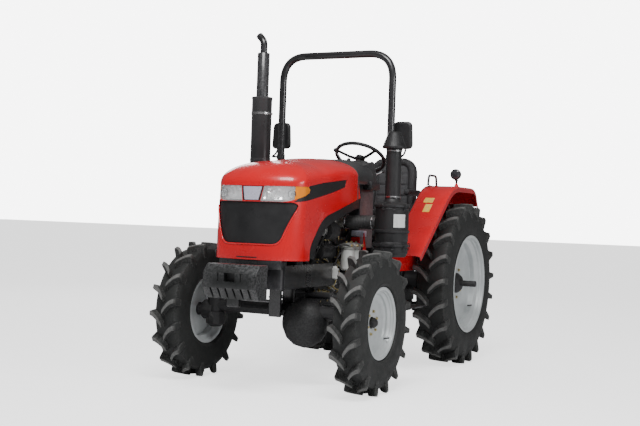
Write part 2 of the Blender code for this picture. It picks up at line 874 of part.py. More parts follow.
def make_front_axle():
    """Build the axle casting: tube, off-centre differential and kingpin housings."""
    beam = cylinder("X", (0, -WHEELBASE, BEAM_HEIGHT), BEAM_RADIUS, -KINGPIN_HALF,
                    KINGPIN_HALF)
    bowl = turned(ball_profile(PUMPKIN_WIDE), "X",
                  (PUMPKIN_PLACE, -WHEELBASE, PUMPKIN_HEIGHT), ROUND_SIDES)
    for vertex in bowl.verts:
        vertex.co.y = -WHEELBASE + (vertex.co.y + WHEELBASE) * PUMPKIN_DEEP / PUMPKIN_WIDE
        vertex.co.z = (
            PUMPKIN_HEIGHT + (vertex.co.z - PUMPKIN_HEIGHT) * PUMPKIN_TALL / PUMPKIN_WIDE
        )
    nose = cylinder("Y", (PUMPKIN_PLACE, 0, PUMPKIN_HEIGHT), BEAM_RADIUS,
                    -WHEELBASE, -WHEELBASE + PUMPKIN_DEEP + BEAM_RADIUS)
    anchor = box((CYLINDER_ANCHOR, -WHEELBASE, BEAM_HEIGHT),
                 (CYLINDER_ANCHOR + CYLINDER_BARREL / 2,
                  -WHEELBASE + CYLINDER_SET_BACK + ARM_HALF,
                  CYLINDER_HEIGHT - round_height(CYLINDER_RADIUS) - SEAT_GAP))
    reach = PIVOT_DEPTH - APRON_DEPTH / 2 - SEAT_GAP
    pivot = cylinder("Y", (0, 0, BEAM_HEIGHT), PIVOT_PIN_RADIUS, -WHEELBASE - reach,
                     -WHEELBASE + reach)
    forms = [beam, bowl, nose, anchor, pivot]
    for side in (-1, 1):
        forms.append(turned([
            (KNUCKLE_TOP + PIN_GAP, KINGPIN_RADIUS),
            (KINGPIN_CAP_TOP - BEAM_RADIUS, KINGPIN_RADIUS),
            (KINGPIN_CAP_TOP, KINGPIN_RADIUS / 2),
        ], "Z", (side * KINGPIN_HALF, -WHEELBASE, 0), SMALL_SIDES))
    return solid("front_axle", "cast_black", forms)


def ball_profile(radius, steps=8):
    """Return the half circle that turns into a ball."""
    points = []
    for i in range(steps + 1):
        angle = math.pi * i / steps
        reach = radius * math.sin(angle)
        points.append((-radius * math.cos(angle), reach if 0 < i < steps else 0))
    return points


def make_knuckle():
    """Build the left final-drive casing that turns on the kingpin, with its arm."""
    case = turned([
        (KNUCKLE_BOTTOM, KNUCKLE_RADIUS / 2),
        (KNUCKLE_BOTTOM + KNUCKLE_RADIUS / 3, KNUCKLE_RADIUS),
        (KNUCKLE_TOP, KNUCKLE_RADIUS),
    ], "Z", (KINGPIN_HALF, -WHEELBASE, 0), SMALL_SIDES)
    boss = cylinder("X", FRONT_AXLE, KNUCKLE_BOSS, KINGPIN_HALF, HUB_FACE)
    cut = cylinder("Z", (KINGPIN_HALF, -WHEELBASE, 0), running_bore(KINGPIN_RADIUS),
                   KNUCKLE_TOP, KINGPIN_CAP_TOP)
    pin = (KINGPIN_HALF, -WHEELBASE)
    end = (KINGPIN_HALF, -WHEELBASE + ARM_LENGTH)
    arm = bar_with_eyes(pin, end, ARM_HALF, "Z", KNUCKLE_TOP - ARM_THICK, KNUCKLE_TOP)
    return [case, boss, arm], [cut]


def make_steering():
    """Build both knuckles, the tie rod and the steering cylinder with its rod."""
    pin_y = -WHEELBASE + CYLINDER_SET_BACK
    eye_low = CYLINDER_HEIGHT - BALL_RADIUS
    joined, cut = make_knuckle()
    post = cylinder("Z", (KINGPIN_HALF, pin_y, 0), CYLINDER_ROD_RADIUS,
                    KNUCKLE_TOP - ARM_THICK / 2, eye_low - PIN_GAP)
    left = solid("knuckle_left", "cast_black", joined + [post], cut)
    joined, cut = make_knuckle()
    plain = solid("knuckle_plain", "cast_black", joined, cut)
    right = mirrored(plain, "knuckle_right")
    bpy.data.objects.remove(plain, do_unlink=True)
    end_y = -WHEELBASE + ARM_LENGTH
    forms = [tube([(-KINGPIN_HALF, end_y, TIE_ROD_HEIGHT), (KINGPIN_HALF, end_y, TIE_ROD_HEIGHT)],
                  TIE_ROD_RADIUS)]
    for side in (-1, 1):
        forms.append(cylinder("Z", (side * KINGPIN_HALF, end_y, 0), BALL_RADIUS,
                              KNUCKLE_TOP + PIN_GAP, TIE_ROD_HEIGHT + BALL_RADIUS))
    rod = solid("tie_rod", "black_paint", forms)
    barrel_end = CYLINDER_ANCHOR + CYLINDER_BARREL
    barrel = cylinder("X", (0, pin_y, CYLINDER_HEIGHT), CYLINDER_RADIUS,
                      CYLINDER_ANCHOR, barrel_end)
    bore = cylinder("X", (0, pin_y, CYLINDER_HEIGHT), CYLINDER_ROD_RADIUS + PIN_GAP,
                    CYLINDER_ANCHOR + CYLINDER_HEAD, barrel_end + OVERRUN)
    ram = solid("steering_cylinder", "black_paint", [barrel], [bore])
    shank = cylinder("X", (0, pin_y, CYLINDER_HEIGHT), CYLINDER_ROD_RADIUS,
                     barrel_end - ROD_OVERLAP, KINGPIN_HALF)
    yoke = bar_with_eyes((KINGPIN_HALF, pin_y), (KINGPIN_HALF, pin_y - CYLINDER_YOKE),
                         BALL_RADIUS, "Z", eye_low, CYLINDER_HEIGHT + BALL_RADIUS, 6)
    piston_rod = solid("steering_rod", "steel", [shank, yoke])
    return [left, right, rod, ram, piston_rod]


CYLINDER_BARREL = 0.215
CYLINDER_HEAD = 0.015
ROD_OVERLAP = 0.115


def make_prop_shaft():
    """Build the covered shaft from the gearbox to the front differential."""
    front = (PUMPKIN_PLACE, -WHEELBASE + PUMPKIN_DEEP + BEAM_RADIUS + 5 * SEAT_GAP,
             PUMPKIN_HEIGHT)
    rear = (PUMPKIN_PLACE, -PROP_SHAFT_REAR, PUMPKIN_HEIGHT + BEAM_RADIUS)
    forms = [
        tube([front, rear], PROP_SHAFT_RADIUS),
        box((GEARBOX_HALF + SEAT_GAP, -PROP_SHAFT_REAR - BEAM_RADIUS, PUMPKIN_HEIGHT),
            (PUMPKIN_PLACE + BEAM_RADIUS, -PROP_SHAFT_REAR + 2 * BEAM_RADIUS,
             PUMPKIN_HEIGHT + 4 * BEAM_RADIUS)),
    ]
    return solid("front_drive_shaft", "cast_black", forms)


# Bonnet

BONNET_STATIONS = 4
BONNET_ROWS = 4
BONNET_COLUMNS = 6
CORNER_STEPS = 3
SHOULDER_STEPS = 2
CROWN_SHARE = 0.62


def bonnet_section(share, inset):
    """Return shoulder height, crown height and half width at a share of the length."""
    ease = share**1.6
    shoulder = BONNET_SHOULDER_REAR + (BONNET_SHOULDER_FRONT - BONNET_SHOULDER_REAR) * ease
    crown = BONNET_CROWN_REAR + (BONNET_CROWN_FRONT - BONNET_CROWN_REAR) * share**2.2
    half = BONNET_REAR_HALF + (BONNET_HALF - BONNET_REAR_HALF) * math.sin(math.pi * share)
    return shoulder - inset, crown - inset, half - inset


def half_outline(shoulder, crown, half, bottom):
    """Return the left half of a section, from its lower edge to the middle."""
    points = []
    for i in range(BONNET_ROWS):
        points.append((half, bottom + (shoulder - bottom) * i / (BONNET_ROWS - 1)))
    rise = (crown - shoulder) * CROWN_SHARE
    run = half * (1 - CROWN_SHARE)
    for i in range(1, SHOULDER_STEPS + 1):
        angle = math.pi / 2 * i / SHOULDER_STEPS
        points.append((half - run * (1 - math.cos(angle)), shoulder + rise * math.sin(angle)))
    return points, half - run, shoulder + rise


def front_reach(x, z, half):
    """Return how far ahead the nose's face is at a place across and up."""
    up = (z - BONNET_BOTTOM) / (BONNET_CROWN_FRONT - BONNET_BOTTOM)
    across = abs(x) / half
    return BONNET_FRONT + BONNET_BULGE * (1 - across**2) - BONNET_LEAN * up**2


def bonnet_body(inset):
    """Make the closed outer body of the bonnet, or a smaller one inside it."""
    form = bmesh.new()
    bottom = BONNET_BOTTOM - (OVERRUN if inset else 0)
    rear = BONNET_REAR - (OVERRUN if inset else 0)
    columns = BONNET_COLUMNS
    stations = []
    straight = BONNET_FRONT - BONNET_CORNER
    for i in range(BONNET_STATIONS):
        reach = rear + (straight - rear) * i / (BONNET_STATIONS - 1)
        stations.append((reach, 1.0, 0.0))
    for i in range(1, CORNER_STEPS + 1):
        angle = math.pi / 2 * i / CORNER_STEPS
        shrink = 1 - BONNET_CORNER / BONNET_HALF * (1 - math.cos(angle)) * NOSE_SHRINK_SHARE
        stations.append((straight + BONNET_CORNER * math.sin(angle), shrink, math.sin(angle)))
    rings = []
    for reach, shrink, forward in stations:
        share = min(max((reach - BONNET_REAR) / (BONNET_FRONT - BONNET_REAR), 0), 1)
        shoulder, crown, half = bonnet_section(share, inset)
        half *= shrink
        points, edge, edge_height = half_outline(shoulder, crown, half, bottom)
        row = []
        for x, z in points:
            row.append(Vector((x, -reach, z)))
        for i in range(1, columns):
            x = edge * (1 - 2 * i / columns)
            rise = (crown - edge_height) * (1 - (x / edge) ** 2)
            row.append(Vector((x, -reach, edge_height + rise)))
        for x, z in reversed(points):
            row.append(Vector((-x, -reach, z)))
        for point in row:
            face = front_reach(point.x, point.z, half) - inset
            base = BONNET_FRONT
            point.y = -(reach + (face - base) * forward)
        rings.append([form.verts.new(point) for point in row])
    count = len(rings[0])
    for first, second in zip(rings, rings[1:]):
        for i in range(count):
            j = (i + 1) % count
            form.faces.new((first[i], first[j], second[j], second[i]))
    form.faces.new(rings[0])
    close_nose(form, rings[-1], len(points), columns, inset)
    return form


NOSE_SHRINK_SHARE = 0.62


def close_nose(form, ring, side_count, columns, inset):
    """Fill the front face with a grid that bulges forward."""
    half = ring[0].co.x
    grid = []
    for level in range(side_count):
        left = ring[level]
        right = ring[-1 - level]
        row = [left]
        for i in range(1, columns):
            x = left.co.x * (1 - 2 * i / columns)
            z = left.co.z
            y = -(front_reach(x, z, half) - inset)
            row.append(form.verts.new((x, y, z)))
        row.append(right)
        grid.append(row)
    top = ring[side_count - 1:side_count + columns]
    grid[-1] = list(top)
    for lower, upper in zip(grid, grid[1:]):
        for i in range(columns):
            form.faces.new((lower[i], lower[i + 1], upper[i + 1], upper[i]))
    bottom = grid[0]
    closing = [vertex for vertex in bottom[1:-1]]
    if closing:
        old = [face for face in form.faces if ring[0] in face.verts and ring[-1] in face.verts]
        for face in old:
            corners = [vertex for vertex in face.verts if vertex not in (ring[0], ring[-1])]
            bmesh.ops.delete(form, geom=[face], context="FACES_ONLY")
            if len(corners) == 2:
                first, second = corners
                if first.co.x < second.co.x:
                    first, second = second, first
                form.faces.new([ring[0]] + closing + [ring[-1], second, first])


def arch_cutter():
    """Make the cutter for both side openings under the swept lower edge."""
    outline = [
        (-ARCH_FRONT, BONNET_BOTTOM - OVERRUN),
        (-ARCH_FRONT, ARCH_FRONT_HEIGHT),
        (-ARCH_KNEE, ARCH_KNEE_HEIGHT),
        (-BONNET_REAR + 2 * OVERRUN, ARCH_REAR_HEIGHT),
        (-BONNET_REAR + 2 * OVERRUN, BONNET_BOTTOM - OVERRUN),
    ]
    path = bent([(y, z, 0) for y, z in outline[:4]], ARCH_RADIUS / 2, 3)
    smooth = [(point.x, point.y) for point in path] + [outline[4]]
    return prism(smooth, "X", -2 * BONNET_HALF, 2 * BONNET_HALF)


def grille_outline(margin):
    """Return the grille's outline seen from the front, drawn in by a margin."""
    return rounded([
        (-GRILLE_TOP_HALF + margin, GRILLE_TOP - margin),
        (GRILLE_TOP_HALF - margin, GRILLE_TOP - margin),
        (GRILLE_BOTTOM_HALF - margin, GRILLE_BOTTOM + margin),
        (-GRILLE_BOTTOM_HALF + margin, GRILLE_BOTTOM + margin),
    ], GRILLE_CORNER)


def lamp_outline(margin):
    """Return the left headlamp's outline seen from the front."""
    return [
        (LAMP_INNER_TOP + margin, LAMP_TOP - margin),
        (BONNET_HALF + OVERRUN, LAMP_TOP - margin),
        (BONNET_HALF + OVERRUN, LAMP_BOTTOM + margin),
        (LAMP_INNER_BOTTOM + margin, LAMP_BOTTOM + margin),
    ]


def make_bonnet():
    """Build the hinged shell with its grille and wrap-round headlamps."""
    ahead = -(BONNET_FRONT + BONNET_CORNER)
    shell = solid("bonnet_shell", "red_paint", [bonnet_body(0)], [
        bonnet_body(BONNET_SHELL),
        arch_cutter(),
        prism(grille_outline(0), "Y", ahead, -ARCH_FRONT),
        prism(lamp_outline(0), "Y", ahead, -LAMP_OUTER_REACH),
        prism([(-x, z) for x, z in lamp_outline(0)], "Y", ahead, -LAMP_OUTER_REACH),
    ])
    behind = BONNET_SHELL + 3 * SEAT_GAP
    grille = solid("grille", "black_plastic", [bonnet_body(behind)], [
        bonnet_body(behind + GRILLE_WALL)])
    combine(grille, to_object(
        "tool", prism(grille_outline(-GRILLE_FLANGE), "Y", ahead, -ARCH_FRONT),
        "black_plastic"), "INTERSECT")
    lamp = solid("headlamp_left", "lamp_clear", [bonnet_body(LAMP_RECESS)], [
        bonnet_body(LAMP_RECESS + LAMP_WALL)])
    combine(lamp, to_object(
        "tool", prism(lamp_outline(SEAT_GAP), "Y", ahead, -LAMP_OUTER_REACH - SEAT_GAP),
        "lamp_clear"), "INTERSECT")
    return [shell, grille, lamp, mirrored(lamp, "headlamp_right")]


# Engine and drive line

def make_engine():
    """Build the engine as one block with its head, sump, pump and manifold."""
    block = soft_box((-ENGINE_HALF, -ENGINE_FRONT, ENGINE_BOTTOM),
                     (ENGINE_HALF, -ENGINE_REAR, ENGINE_TOP), ENGINE_EDGE, 1)
    head = soft_box((-HEAD_HALF, -ENGINE_FRONT + ENGINE_EDGE, ENGINE_TOP - ENGINE_EDGE),
                    (HEAD_HALF, -ENGINE_REAR - ENGINE_EDGE, HEAD_TOP), ENGINE_EDGE, 2)
    sump = soft_box((-SUMP_HALF, -SUMP_FRONT, SUMP_BOTTOM),
                    (SUMP_HALF, -ENGINE_REAR - ENGINE_EDGE, ENGINE_BOTTOM + ENGINE_EDGE),
                    ENGINE_EDGE, 1)
    pump = cylinder("Y", (ENGINE_HALF, 0, PUMP_HEIGHT), PUMP_RADIUS, -PUMP_FRONT,
                    -PUMP_FRONT + PUMP_LENGTH)
    alternator = cylinder("Y", (ENGINE_HALF, 0, ENGINE_TOP - ALTERNATOR_RADIUS / 2),
                          ALTERNATOR_RADIUS, -ENGINE_FRONT + ENGINE_EDGE,
                          -ENGINE_FRONT + ENGINE_EDGE + ALTERNATOR_LENGTH)
    manifold = soft_box((-ENGINE_HALF - MANIFOLD_OUT, -MANIFOLD_FRONT, MANIFOLD_LOW),
                        (-HEAD_HALF + ENGINE_EDGE, -MANIFOLD_REAR, MANIFOLD_HIGH),
                        ENGINE_EDGE, 1)
    intake = cylinder("X", (0, -CLEANER_SET_BACK - HOSE_BACK, HOSE_HEIGHT), INTAKE_RADIUS,
                      0, ENGINE_HALF)
    return solid("engine", "cast_black", [
        block, head, sump, pump, alternator, manifold, intake])


ENGINE_EDGE = 0.02
PUMP_HEIGHT = 0.940
PUMP_RADIUS = 0.055
PUMP_FRONT = 1.72
PUMP_LENGTH = 0.20
ALTERNATOR_RADIUS = 0.065
ALTERNATOR_LENGTH = 0.13
MANIFOLD_OUT = 0.050
MANIFOLD_FRONT = 1.72
MANIFOLD_REAR = 1.26
MANIFOLD_LOW = 1.06
MANIFOLD_HIGH = 1.19
INTAKE_RADIUS = 0.048


def make_transmission():
    """Build clutch housing, gearbox and rear axle as the one casting that carries all."""
    bell = prism([
        (-ENGINE_HALF, ENGINE_BOTTOM), (ENGINE_HALF, ENGINE_BOTTOM),
        (ENGINE_HALF, GEARBOX_TOP), (ENGINE_HALF / 2, GEARBOX_TOP + BELL_RISE),
        (-ENGINE_HALF / 2, GEARBOX_TOP + BELL_RISE), (-ENGINE_HALF, GEARBOX_TOP),
    ], "Y", -ENGINE_REAR + SEAT_GAP, -ENGINE_REAR + BELL_LENGTH)
    gearbox = soft_box((-GEARBOX_HALF, -ENGINE_REAR + BELL_LENGTH - OVERRUN, GEARBOX_BOTTOM),
                       (GEARBOX_HALF, 0, GEARBOX_TOP), ENGINE_EDGE, 1)
    axle_box = soft_box((-AXLE_HOUSING_HALF, -AXLE_HOUSING_FRONT, AXLE_HOUSING_BOTTOM),
                        (AXLE_HOUSING_HALF, AXLE_HOUSING_REAR, AXLE_HOUSING_TOP),
                        ENGINE_EDGE, 1)
    trumpets = turned([
        (-TRUMPET_REACH, TRUMPET_FLANGE),
        (-TRUMPET_REACH + TRUMPET_FLANGE_LENGTH, TRUMPET_FLANGE),
        (-TRUMPET_REACH + TRUMPET_FLANGE_LENGTH, TRUMPET_RADIUS),
        (TRUMPET_REACH - TRUMPET_FLANGE_LENGTH, TRUMPET_RADIUS),
        (TRUMPET_REACH - TRUMPET_FLANGE_LENGTH, TRUMPET_FLANGE),
        (TRUMPET_REACH, TRUMPET_FLANGE),
    ], "X", REAR_AXLE, ROUND_SIDES)
    lift_box = soft_box((-LIFT_BOX_HALF, -LIFT_BOX_FRONT, AXLE_HOUSING_TOP - ENGINE_EDGE),
                        (LIFT_BOX_HALF, AXLE_HOUSING_REAR, LIFT_BOX_TOP), ENGINE_EDGE, 1)
    pto = cylinder("Y", (0, 0, PTO_HEIGHT), PTO_RADIUS, 0, PTO_REACH)
    pto_boss = cylinder("Y", (0, 0, PTO_HEIGHT), 3 * PTO_RADIUS, 0,
                        AXLE_HOUSING_REAR + PTO_RADIUS)
    hitch = box((-DRAWBAR_HALF, -AXLE_HOUSING_FRONT, DRAWBAR_HEIGHT),
                (DRAWBAR_HALF, DRAWBAR_REACH, DRAWBAR_HEIGHT + DRAWBAR_THICK))
    hanger = box((-DRAWBAR_HALF, -AXLE_HOUSING_FRONT, DRAWBAR_HEIGHT),
                 (DRAWBAR_HALF, AXLE_HOUSING_REAR - ENGINE_EDGE,
                  AXLE_HOUSING_BOTTOM + ENGINE_EDGE))
    hole = cylinder("Z", (0, DRAWBAR_REACH - DRAWBAR_HALF, 0), DRAWBAR_HOLE,
                    DRAWBAR_HEIGHT - OVERRUN, DRAWBAR_HEIGHT + DRAWBAR_THICK + OVERRUN)
    ears = []
    for side in (-1, 1):
        middle = side * TOP_EAR_PLACE
        ears.append(bar_with_eyes(
            (AXLE_HOUSING_REAR - ENGINE_EDGE, TOP_LINK_HEIGHT),
            (TOP_LINK_PIVOT_REAR, TOP_LINK_HEIGHT), LINK_EYE, "X",
            middle - TOP_EAR_THICK / 2, middle + TOP_EAR_THICK / 2))
    top_pin = cylinder("X", (0, TOP_LINK_PIVOT_REAR, TOP_LINK_HEIGHT), LINK_PIN_RADIUS,
                       -TOP_EAR_PLACE, TOP_EAR_PLACE)
    link_pin = cylinder("X", (0, LINK_PIVOT_REAR, LINK_PIVOT_HEIGHT), LINK_PIN_RADIUS,
                        -LINK_PIVOT_HALF - LINK_THICK, LINK_PIVOT_HALF + LINK_THICK)
    carrier = soft_box((-AXLE_HOUSING_HALF, -AXLE_HOUSING_FRONT + OVERRUN,
                        LINK_PIVOT_HEIGHT - LINK_EYE),
                       (AXLE_HOUSING_HALF, AXLE_HOUSING_REAR - OVERRUN,
                        AXLE_HOUSING_BOTTOM + ENGINE_EDGE), ENGINE_EDGE, 1)
    return solid("transmission", "cast_black", [
        gearbox, bell, axle_box, trumpets, lift_box, pto_boss, pto, carrier, hitch, hanger,
        *ears, top_pin, link_pin], [hole])


BELL_LENGTH = 0.22
BELL_RISE = 0.06
LIFT_BOX_HALF = 0.155
LIFT_BOX_FRONT = 0.16
LIFT_BOX_TOP = 1.085
DRAWBAR_HOLE = 0.013
TOP_EAR_PLACE = 0.035
TOP_EAR_THICK = 0.014
LINK_PIN_RADIUS = 0.011


def make_radiator():
    """Build the radiator core with the round shroud behind it."""
    core = soft_box((-RADIATOR_HALF, -RADIATOR_FRONT, RAIL_TOP + SEAT_GAP),
                    (RADIATOR_HALF, -RADIATOR_REAR, RADIATOR_TOP), RIM_WALL, 1)
    middle = (RAIL_TOP + RADIATOR_TOP) / 2
    shroud = cylinder("Y", (0, 0, middle), SHROUD_RADIUS, -RADIATOR_REAR - OVERRUN,
                      -RADIATOR_REAR + SHROUD_DEPTH, ROUND_SIDES)
    hollow = cylinder("Y", (0, 0, middle), SHROUD_RADIUS - SHEET, -RADIATOR_REAR,
                      -RADIATOR_REAR + SHROUD_DEPTH + OVERRUN, ROUND_SIDES)
    return solid("radiator", "black_paint", [core, shroud], [hollow])


def make_front_frame():
    """Build the two rails, the apron under the nose and the axle's pivot bracket."""
    forms = []
    for side in (-1, 1):
        low = min(side * RAIL_INNER, side * RAIL_OUTER)
        high = max(side * RAIL_INNER, side * RAIL_OUTER)
        forms.append(prism([
            (-RAIL_FRONT + APRON_DEPTH / 2, RAIL_BOTTOM), (-RAIL_REAR, RAIL_BOTTOM),
            (-RAIL_REAR, RAIL_TOP), (-RAIL_FRONT + APRON_DEPTH / 2, RAIL_TOP),
        ], "X", low, high))
    forms.append(soft_box((-APRON_HALF, -RAIL_FRONT, RAIL_BOTTOM),
                          (APRON_HALF, -RAIL_FRONT + APRON_DEPTH, RAIL_TOP), ENGINE_EDGE, 2,
                          lambda edge: edge_runs(edge, 2)))
    forms.append(box((-RAIL_OUTER, -RADIATOR_FRONT - OVERRUN, RAIL_TOP - APRON_DEPTH),
                     (RAIL_OUTER, -RADIATOR_REAR + OVERRUN, RAIL_TOP)))
    forms.append(box((-RAIL_OUTER, -WHEELBASE - PIVOT_DEPTH, RAIL_BOTTOM),
                     (RAIL_OUTER, -WHEELBASE + PIVOT_DEPTH, RAIL_BOTTOM + APRON_DEPTH)))
    for end in (-1, 1):
        near = -WHEELBASE + end * (PIVOT_DEPTH - APRON_DEPTH / 4)
        forms.append(box((-PIVOT_HALF, near - APRON_DEPTH / 4, BEAM_HEIGHT - BEAM_RADIUS),
                         (PIVOT_HALF, near + APRON_DEPTH / 4, RAIL_BOTTOM + OVERRUN)))
    lip = [(APRON_HALF, -RAIL_FRONT + APRON_DEPTH), (-APRON_HALF, -RAIL_FRONT + APRON_DEPTH)]
    for i in range(LIP_STEPS + 1):
        x = APRON_HALF * (2 * i / LIP_STEPS - 1)
        lip.append((x, SHEET - front_reach(x, BONNET_BOTTOM, BONNET_REAR_HALF)))
    forms.append(prism(lip, "Z", RAIL_TOP - APRON_DEPTH / 2, BONNET_BOTTOM - SEAT_GAP))
    return solid("front_frame", "black_paint", forms)


LIP_STEPS = 8


def edge_runs(edge, axis):
    """Tell whether an edge runs along one axis."""
    first, second = edge.verts
    run = second.co - first.co
    return all(abs(run[i]) < SEAT_GAP for i in range(3) if i != axis)


def make_weights():
    """Build the front ballast with its window, slots, lower fingers and tow hook."""
    face = -FRONT_REACH
    back = face + WEIGHT_DEPTH
    outline = [
        (back, WEIGHT_BOTTOM), (face + WEIGHT_LEAN, WEIGHT_BOTTOM),
        (face, WEIGHT_BOTTOM + FINGER_HEIGHT), (face, WEIGHT_WINDOW_TOP),
        (face + WEIGHT_LEAN, WEIGHT_TOP), (back, WEIGHT_TOP),
    ]
    block = prism(outline, "X", -WEIGHT_HALF, WEIGHT_HALF)
    deep = face + WEIGHT_DEPTH / 3
    cuts = [box((-WEIGHT_WINDOW_HALF, face - OVERRUN, WEIGHT_WINDOW_BOTTOM),
                (WEIGHT_WINDOW_HALF, deep, WEIGHT_WINDOW_TOP))]
    for side in (-1, 1):
        middle = side * WEIGHT_SLOT_PLACE
        cuts.append(box((middle - WEIGHT_SLOT / 2, face - OVERRUN, WEIGHT_WINDOW_BOTTOM),
                        (middle + WEIGHT_SLOT / 2, face + WEIGHT_SLOT, WEIGHT_WINDOW_TOP)))
    pitch = 2 * WEIGHT_HALF / WEIGHT_FINGERS
    for i in range(1, WEIGHT_FINGERS):
        middle = -WEIGHT_HALF + i * pitch
        cuts.append(box((middle - FINGER_GAP / 2, face - OVERRUN, WEIGHT_BOTTOM - OVERRUN),
                        (middle + FINGER_GAP / 2, deep, WEIGHT_BOTTOM + FINGER_HEIGHT)))
    tongue = box((-HOOK_HALF, back - OVERRUN, RAIL_BOTTOM),
                 (HOOK_HALF, -RAIL_FRONT - SEAT_GAP, RAIL_BOTTOM + APRON_DEPTH))
    hook = soft_box((-HOOK_HALF, face + WEIGHT_LEAN, HOOK_BOTTOM),
                    (HOOK_HALF, face + WEIGHT_LEAN + HOOK_THICK, WEIGHT_BOTTOM + OVERRUN),
                    RIM_WALL, 1)
    return solid("front_weights", "cast_black", [block, tongue, hook], cuts)


# Exhaust, intake and filters

def make_exhaust():
    """Build the upright silencer, its upper pipe and the curved tip."""
    centre = (STACK_PLACE, -STACK_SET_BACK, 0)
    muffler = turned([
        (STACK_BOTTOM + STACK_PIPE_RADIUS, STACK_PIPE_RADIUS),
        (STACK_BOTTOM + 3 * STACK_PIPE_RADIUS, STACK_MUFFLER_RADIUS),
        (STACK_MUFFLER_TOP, STACK_MUFFLER_RADIUS),
        (STACK_MUFFLER_TOP, STACK_MUFFLER_RADIUS - SHEET),
        (STACK_MUFFLER_TOP - STACK_PIPE_RADIUS, STACK_MUFFLER_RADIUS - SHEET),
        (STACK_MUFFLER_TOP - STACK_PIPE_RADIUS, STACK_PIPE_RADIUS),
        (STACK_PIPE_TOP - SHEET, STACK_PIPE_RADIUS),
        (STACK_PIPE_TOP, STACK_TIP_RADIUS + SHEET),
    ], "Z", centre, 16)
    knee = STACK_PIPE_TOP + STACK_TIP_BEND * 2
    tip_end = STACK_TOP - STACK_TIP_RADIUS * 0.5
    tip = tube(bent([
        (STACK_PLACE, -STACK_SET_BACK, STACK_PIPE_TOP - OVERRUN),
        (STACK_PLACE, -STACK_SET_BACK, knee),
        (STACK_PLACE - STACK_TIP_BEND, -STACK_SET_BACK, tip_end),
    ], STACK_TIP_BEND, 3), STACK_TIP_RADIUS)
    elbow = tube(bent([
        (-ENGINE_HALF - MANIFOLD_OUT - SEAT_GAP, -STACK_SET_BACK, STACK_BOTTOM + OVERRUN),
        (STACK_PLACE, -STACK_SET_BACK, STACK_BOTTOM + OVERRUN),
        (STACK_PLACE, -STACK_SET_BACK, STACK_BOTTOM + 2.5 * STACK_PIPE_RADIUS),
    ], 1.6 * STACK_TIP_RADIUS, 3), STACK_TIP_RADIUS)
    return solid("exhaust_stack", "black_paint", [muffler, tip, elbow])


def make_air_cleaner():
    """Build the upright air cleaner: canister with rings, pipe and mushroom cap."""
    ring = CLEANER_RING_HEIGHT
    profile = [
        (CLEANER_BOTTOM, CLEANER_RADIUS * 0.55),
        (CLEANER_BOTTOM + ring, CLEANER_RADIUS),
        (CLEANER_BOTTOM + 4 * ring, CLEANER_RADIUS),
        (CLEANER_BOTTOM + 4 * ring, CLEANER_RING),
        (CLEANER_BOTTOM + 5 * ring, CLEANER_RING),
        (CLEANER_BOTTOM + 5 * ring, CLEANER_RADIUS),
        (CLEANER_TOP - ring, CLEANER_RADIUS),
        (CLEANER_TOP - ring, CLEANER_RING),
        (CLEANER_TOP, CLEANER_RING),
        (CLEANER_TOP, CLEANER_RADIUS),
        (CLEANER_NECK_TOP, CLEANER_PIPE_RADIUS * 1.3),
        (CLEANER_NECK_TOP, CLEANER_PIPE_RADIUS),
        (CLEANER_CAP_BOTTOM, CLEANER_PIPE_RADIUS),
        (CLEANER_CAP_BOTTOM, CLEANER_CAP_RADIUS),
        (CLEANER_CAP_BOTTOM + ring, CLEANER_CAP_RADIUS),
        (CLEANER_CAP_TOP, CLEANER_CAP_FLAT),
    ]
    body = turned(profile, "Z", (CLEANER_PLACE, -CLEANER_SET_BACK, 0), ROUND_SIDES)
    bracket = box((HOOP_HALF + HOOP_RADIUS + SEAT_GAP, -HOOP_SET_BACK - HOOP_RADIUS,
                   CLEANER_BRACKET_LOW),
                  (CLEANER_PLACE, -HOOP_SET_BACK + HOOP_RADIUS,
                   CLEANER_BRACKET_LOW + ring))
    arm = box((CLEANER_PLACE - 2 * ring, -CLEANER_SET_BACK, CLEANER_BRACKET_LOW),
              (CLEANER_PLACE, -HOOP_SET_BACK + HOOP_RADIUS, CLEANER_BRACKET_LOW + ring))
    return solid("air_cleaner", "black_plastic", [body, arm, bracket])


CLEANER_BRACKET_LOW = 1.08


def make_hose():
    """Build the thick intake hose between the engine and the air cleaner."""
    end = CLEANER_PLACE - CLEANER_RADIUS - SEAT_GAP
    path = bent([
        (ENGINE_HALF + SEAT_GAP, -CLEANER_SET_BACK - HOSE_BACK, HOSE_HEIGHT),
        (HOSE_INNER, -CLEANER_SET_BACK - HOSE_BACK, HOSE_HEIGHT),
        (HOSE_INNER + 2 * HOSE_RADIUS, -CLEANER_SET_BACK, HOSE_HEIGHT),
        (end, -CLEANER_SET_BACK, HOSE_HEIGHT),
    ], HOSE_RADIUS, 3)
    return solid("intake_hose", "rubber", [tube(path, HOSE_RADIUS, 12)])


HOSE_BACK = 0.06


def make_filter():
    """Build the white spin-on filter under its cast head."""
    centre = (FILTER_PLACE, -FILTER_SET_BACK, 0)
    can = turned([
        (FILTER_BOTTOM, FILTER_RADIUS * 0.85),
        (FILTER_BOTTOM + SHEET, FILTER_RADIUS),
        (FILTER_TOP, FILTER_RADIUS),
    ], "Z", centre, 12)
    head = soft_box((ENGINE_HALF + SEAT_GAP, -FILTER_SET_BACK - FILTER_RADIUS, FILTER_TOP),
                    (FILTER_PLACE + FILTER_RADIUS, -FILTER_SET_BACK + FILTER_RADIUS,
                     FILTER_HEAD_TOP), SHEET, 1)
    return solid("fuel_filter", "filter_white", [head, can])


# Driver's place

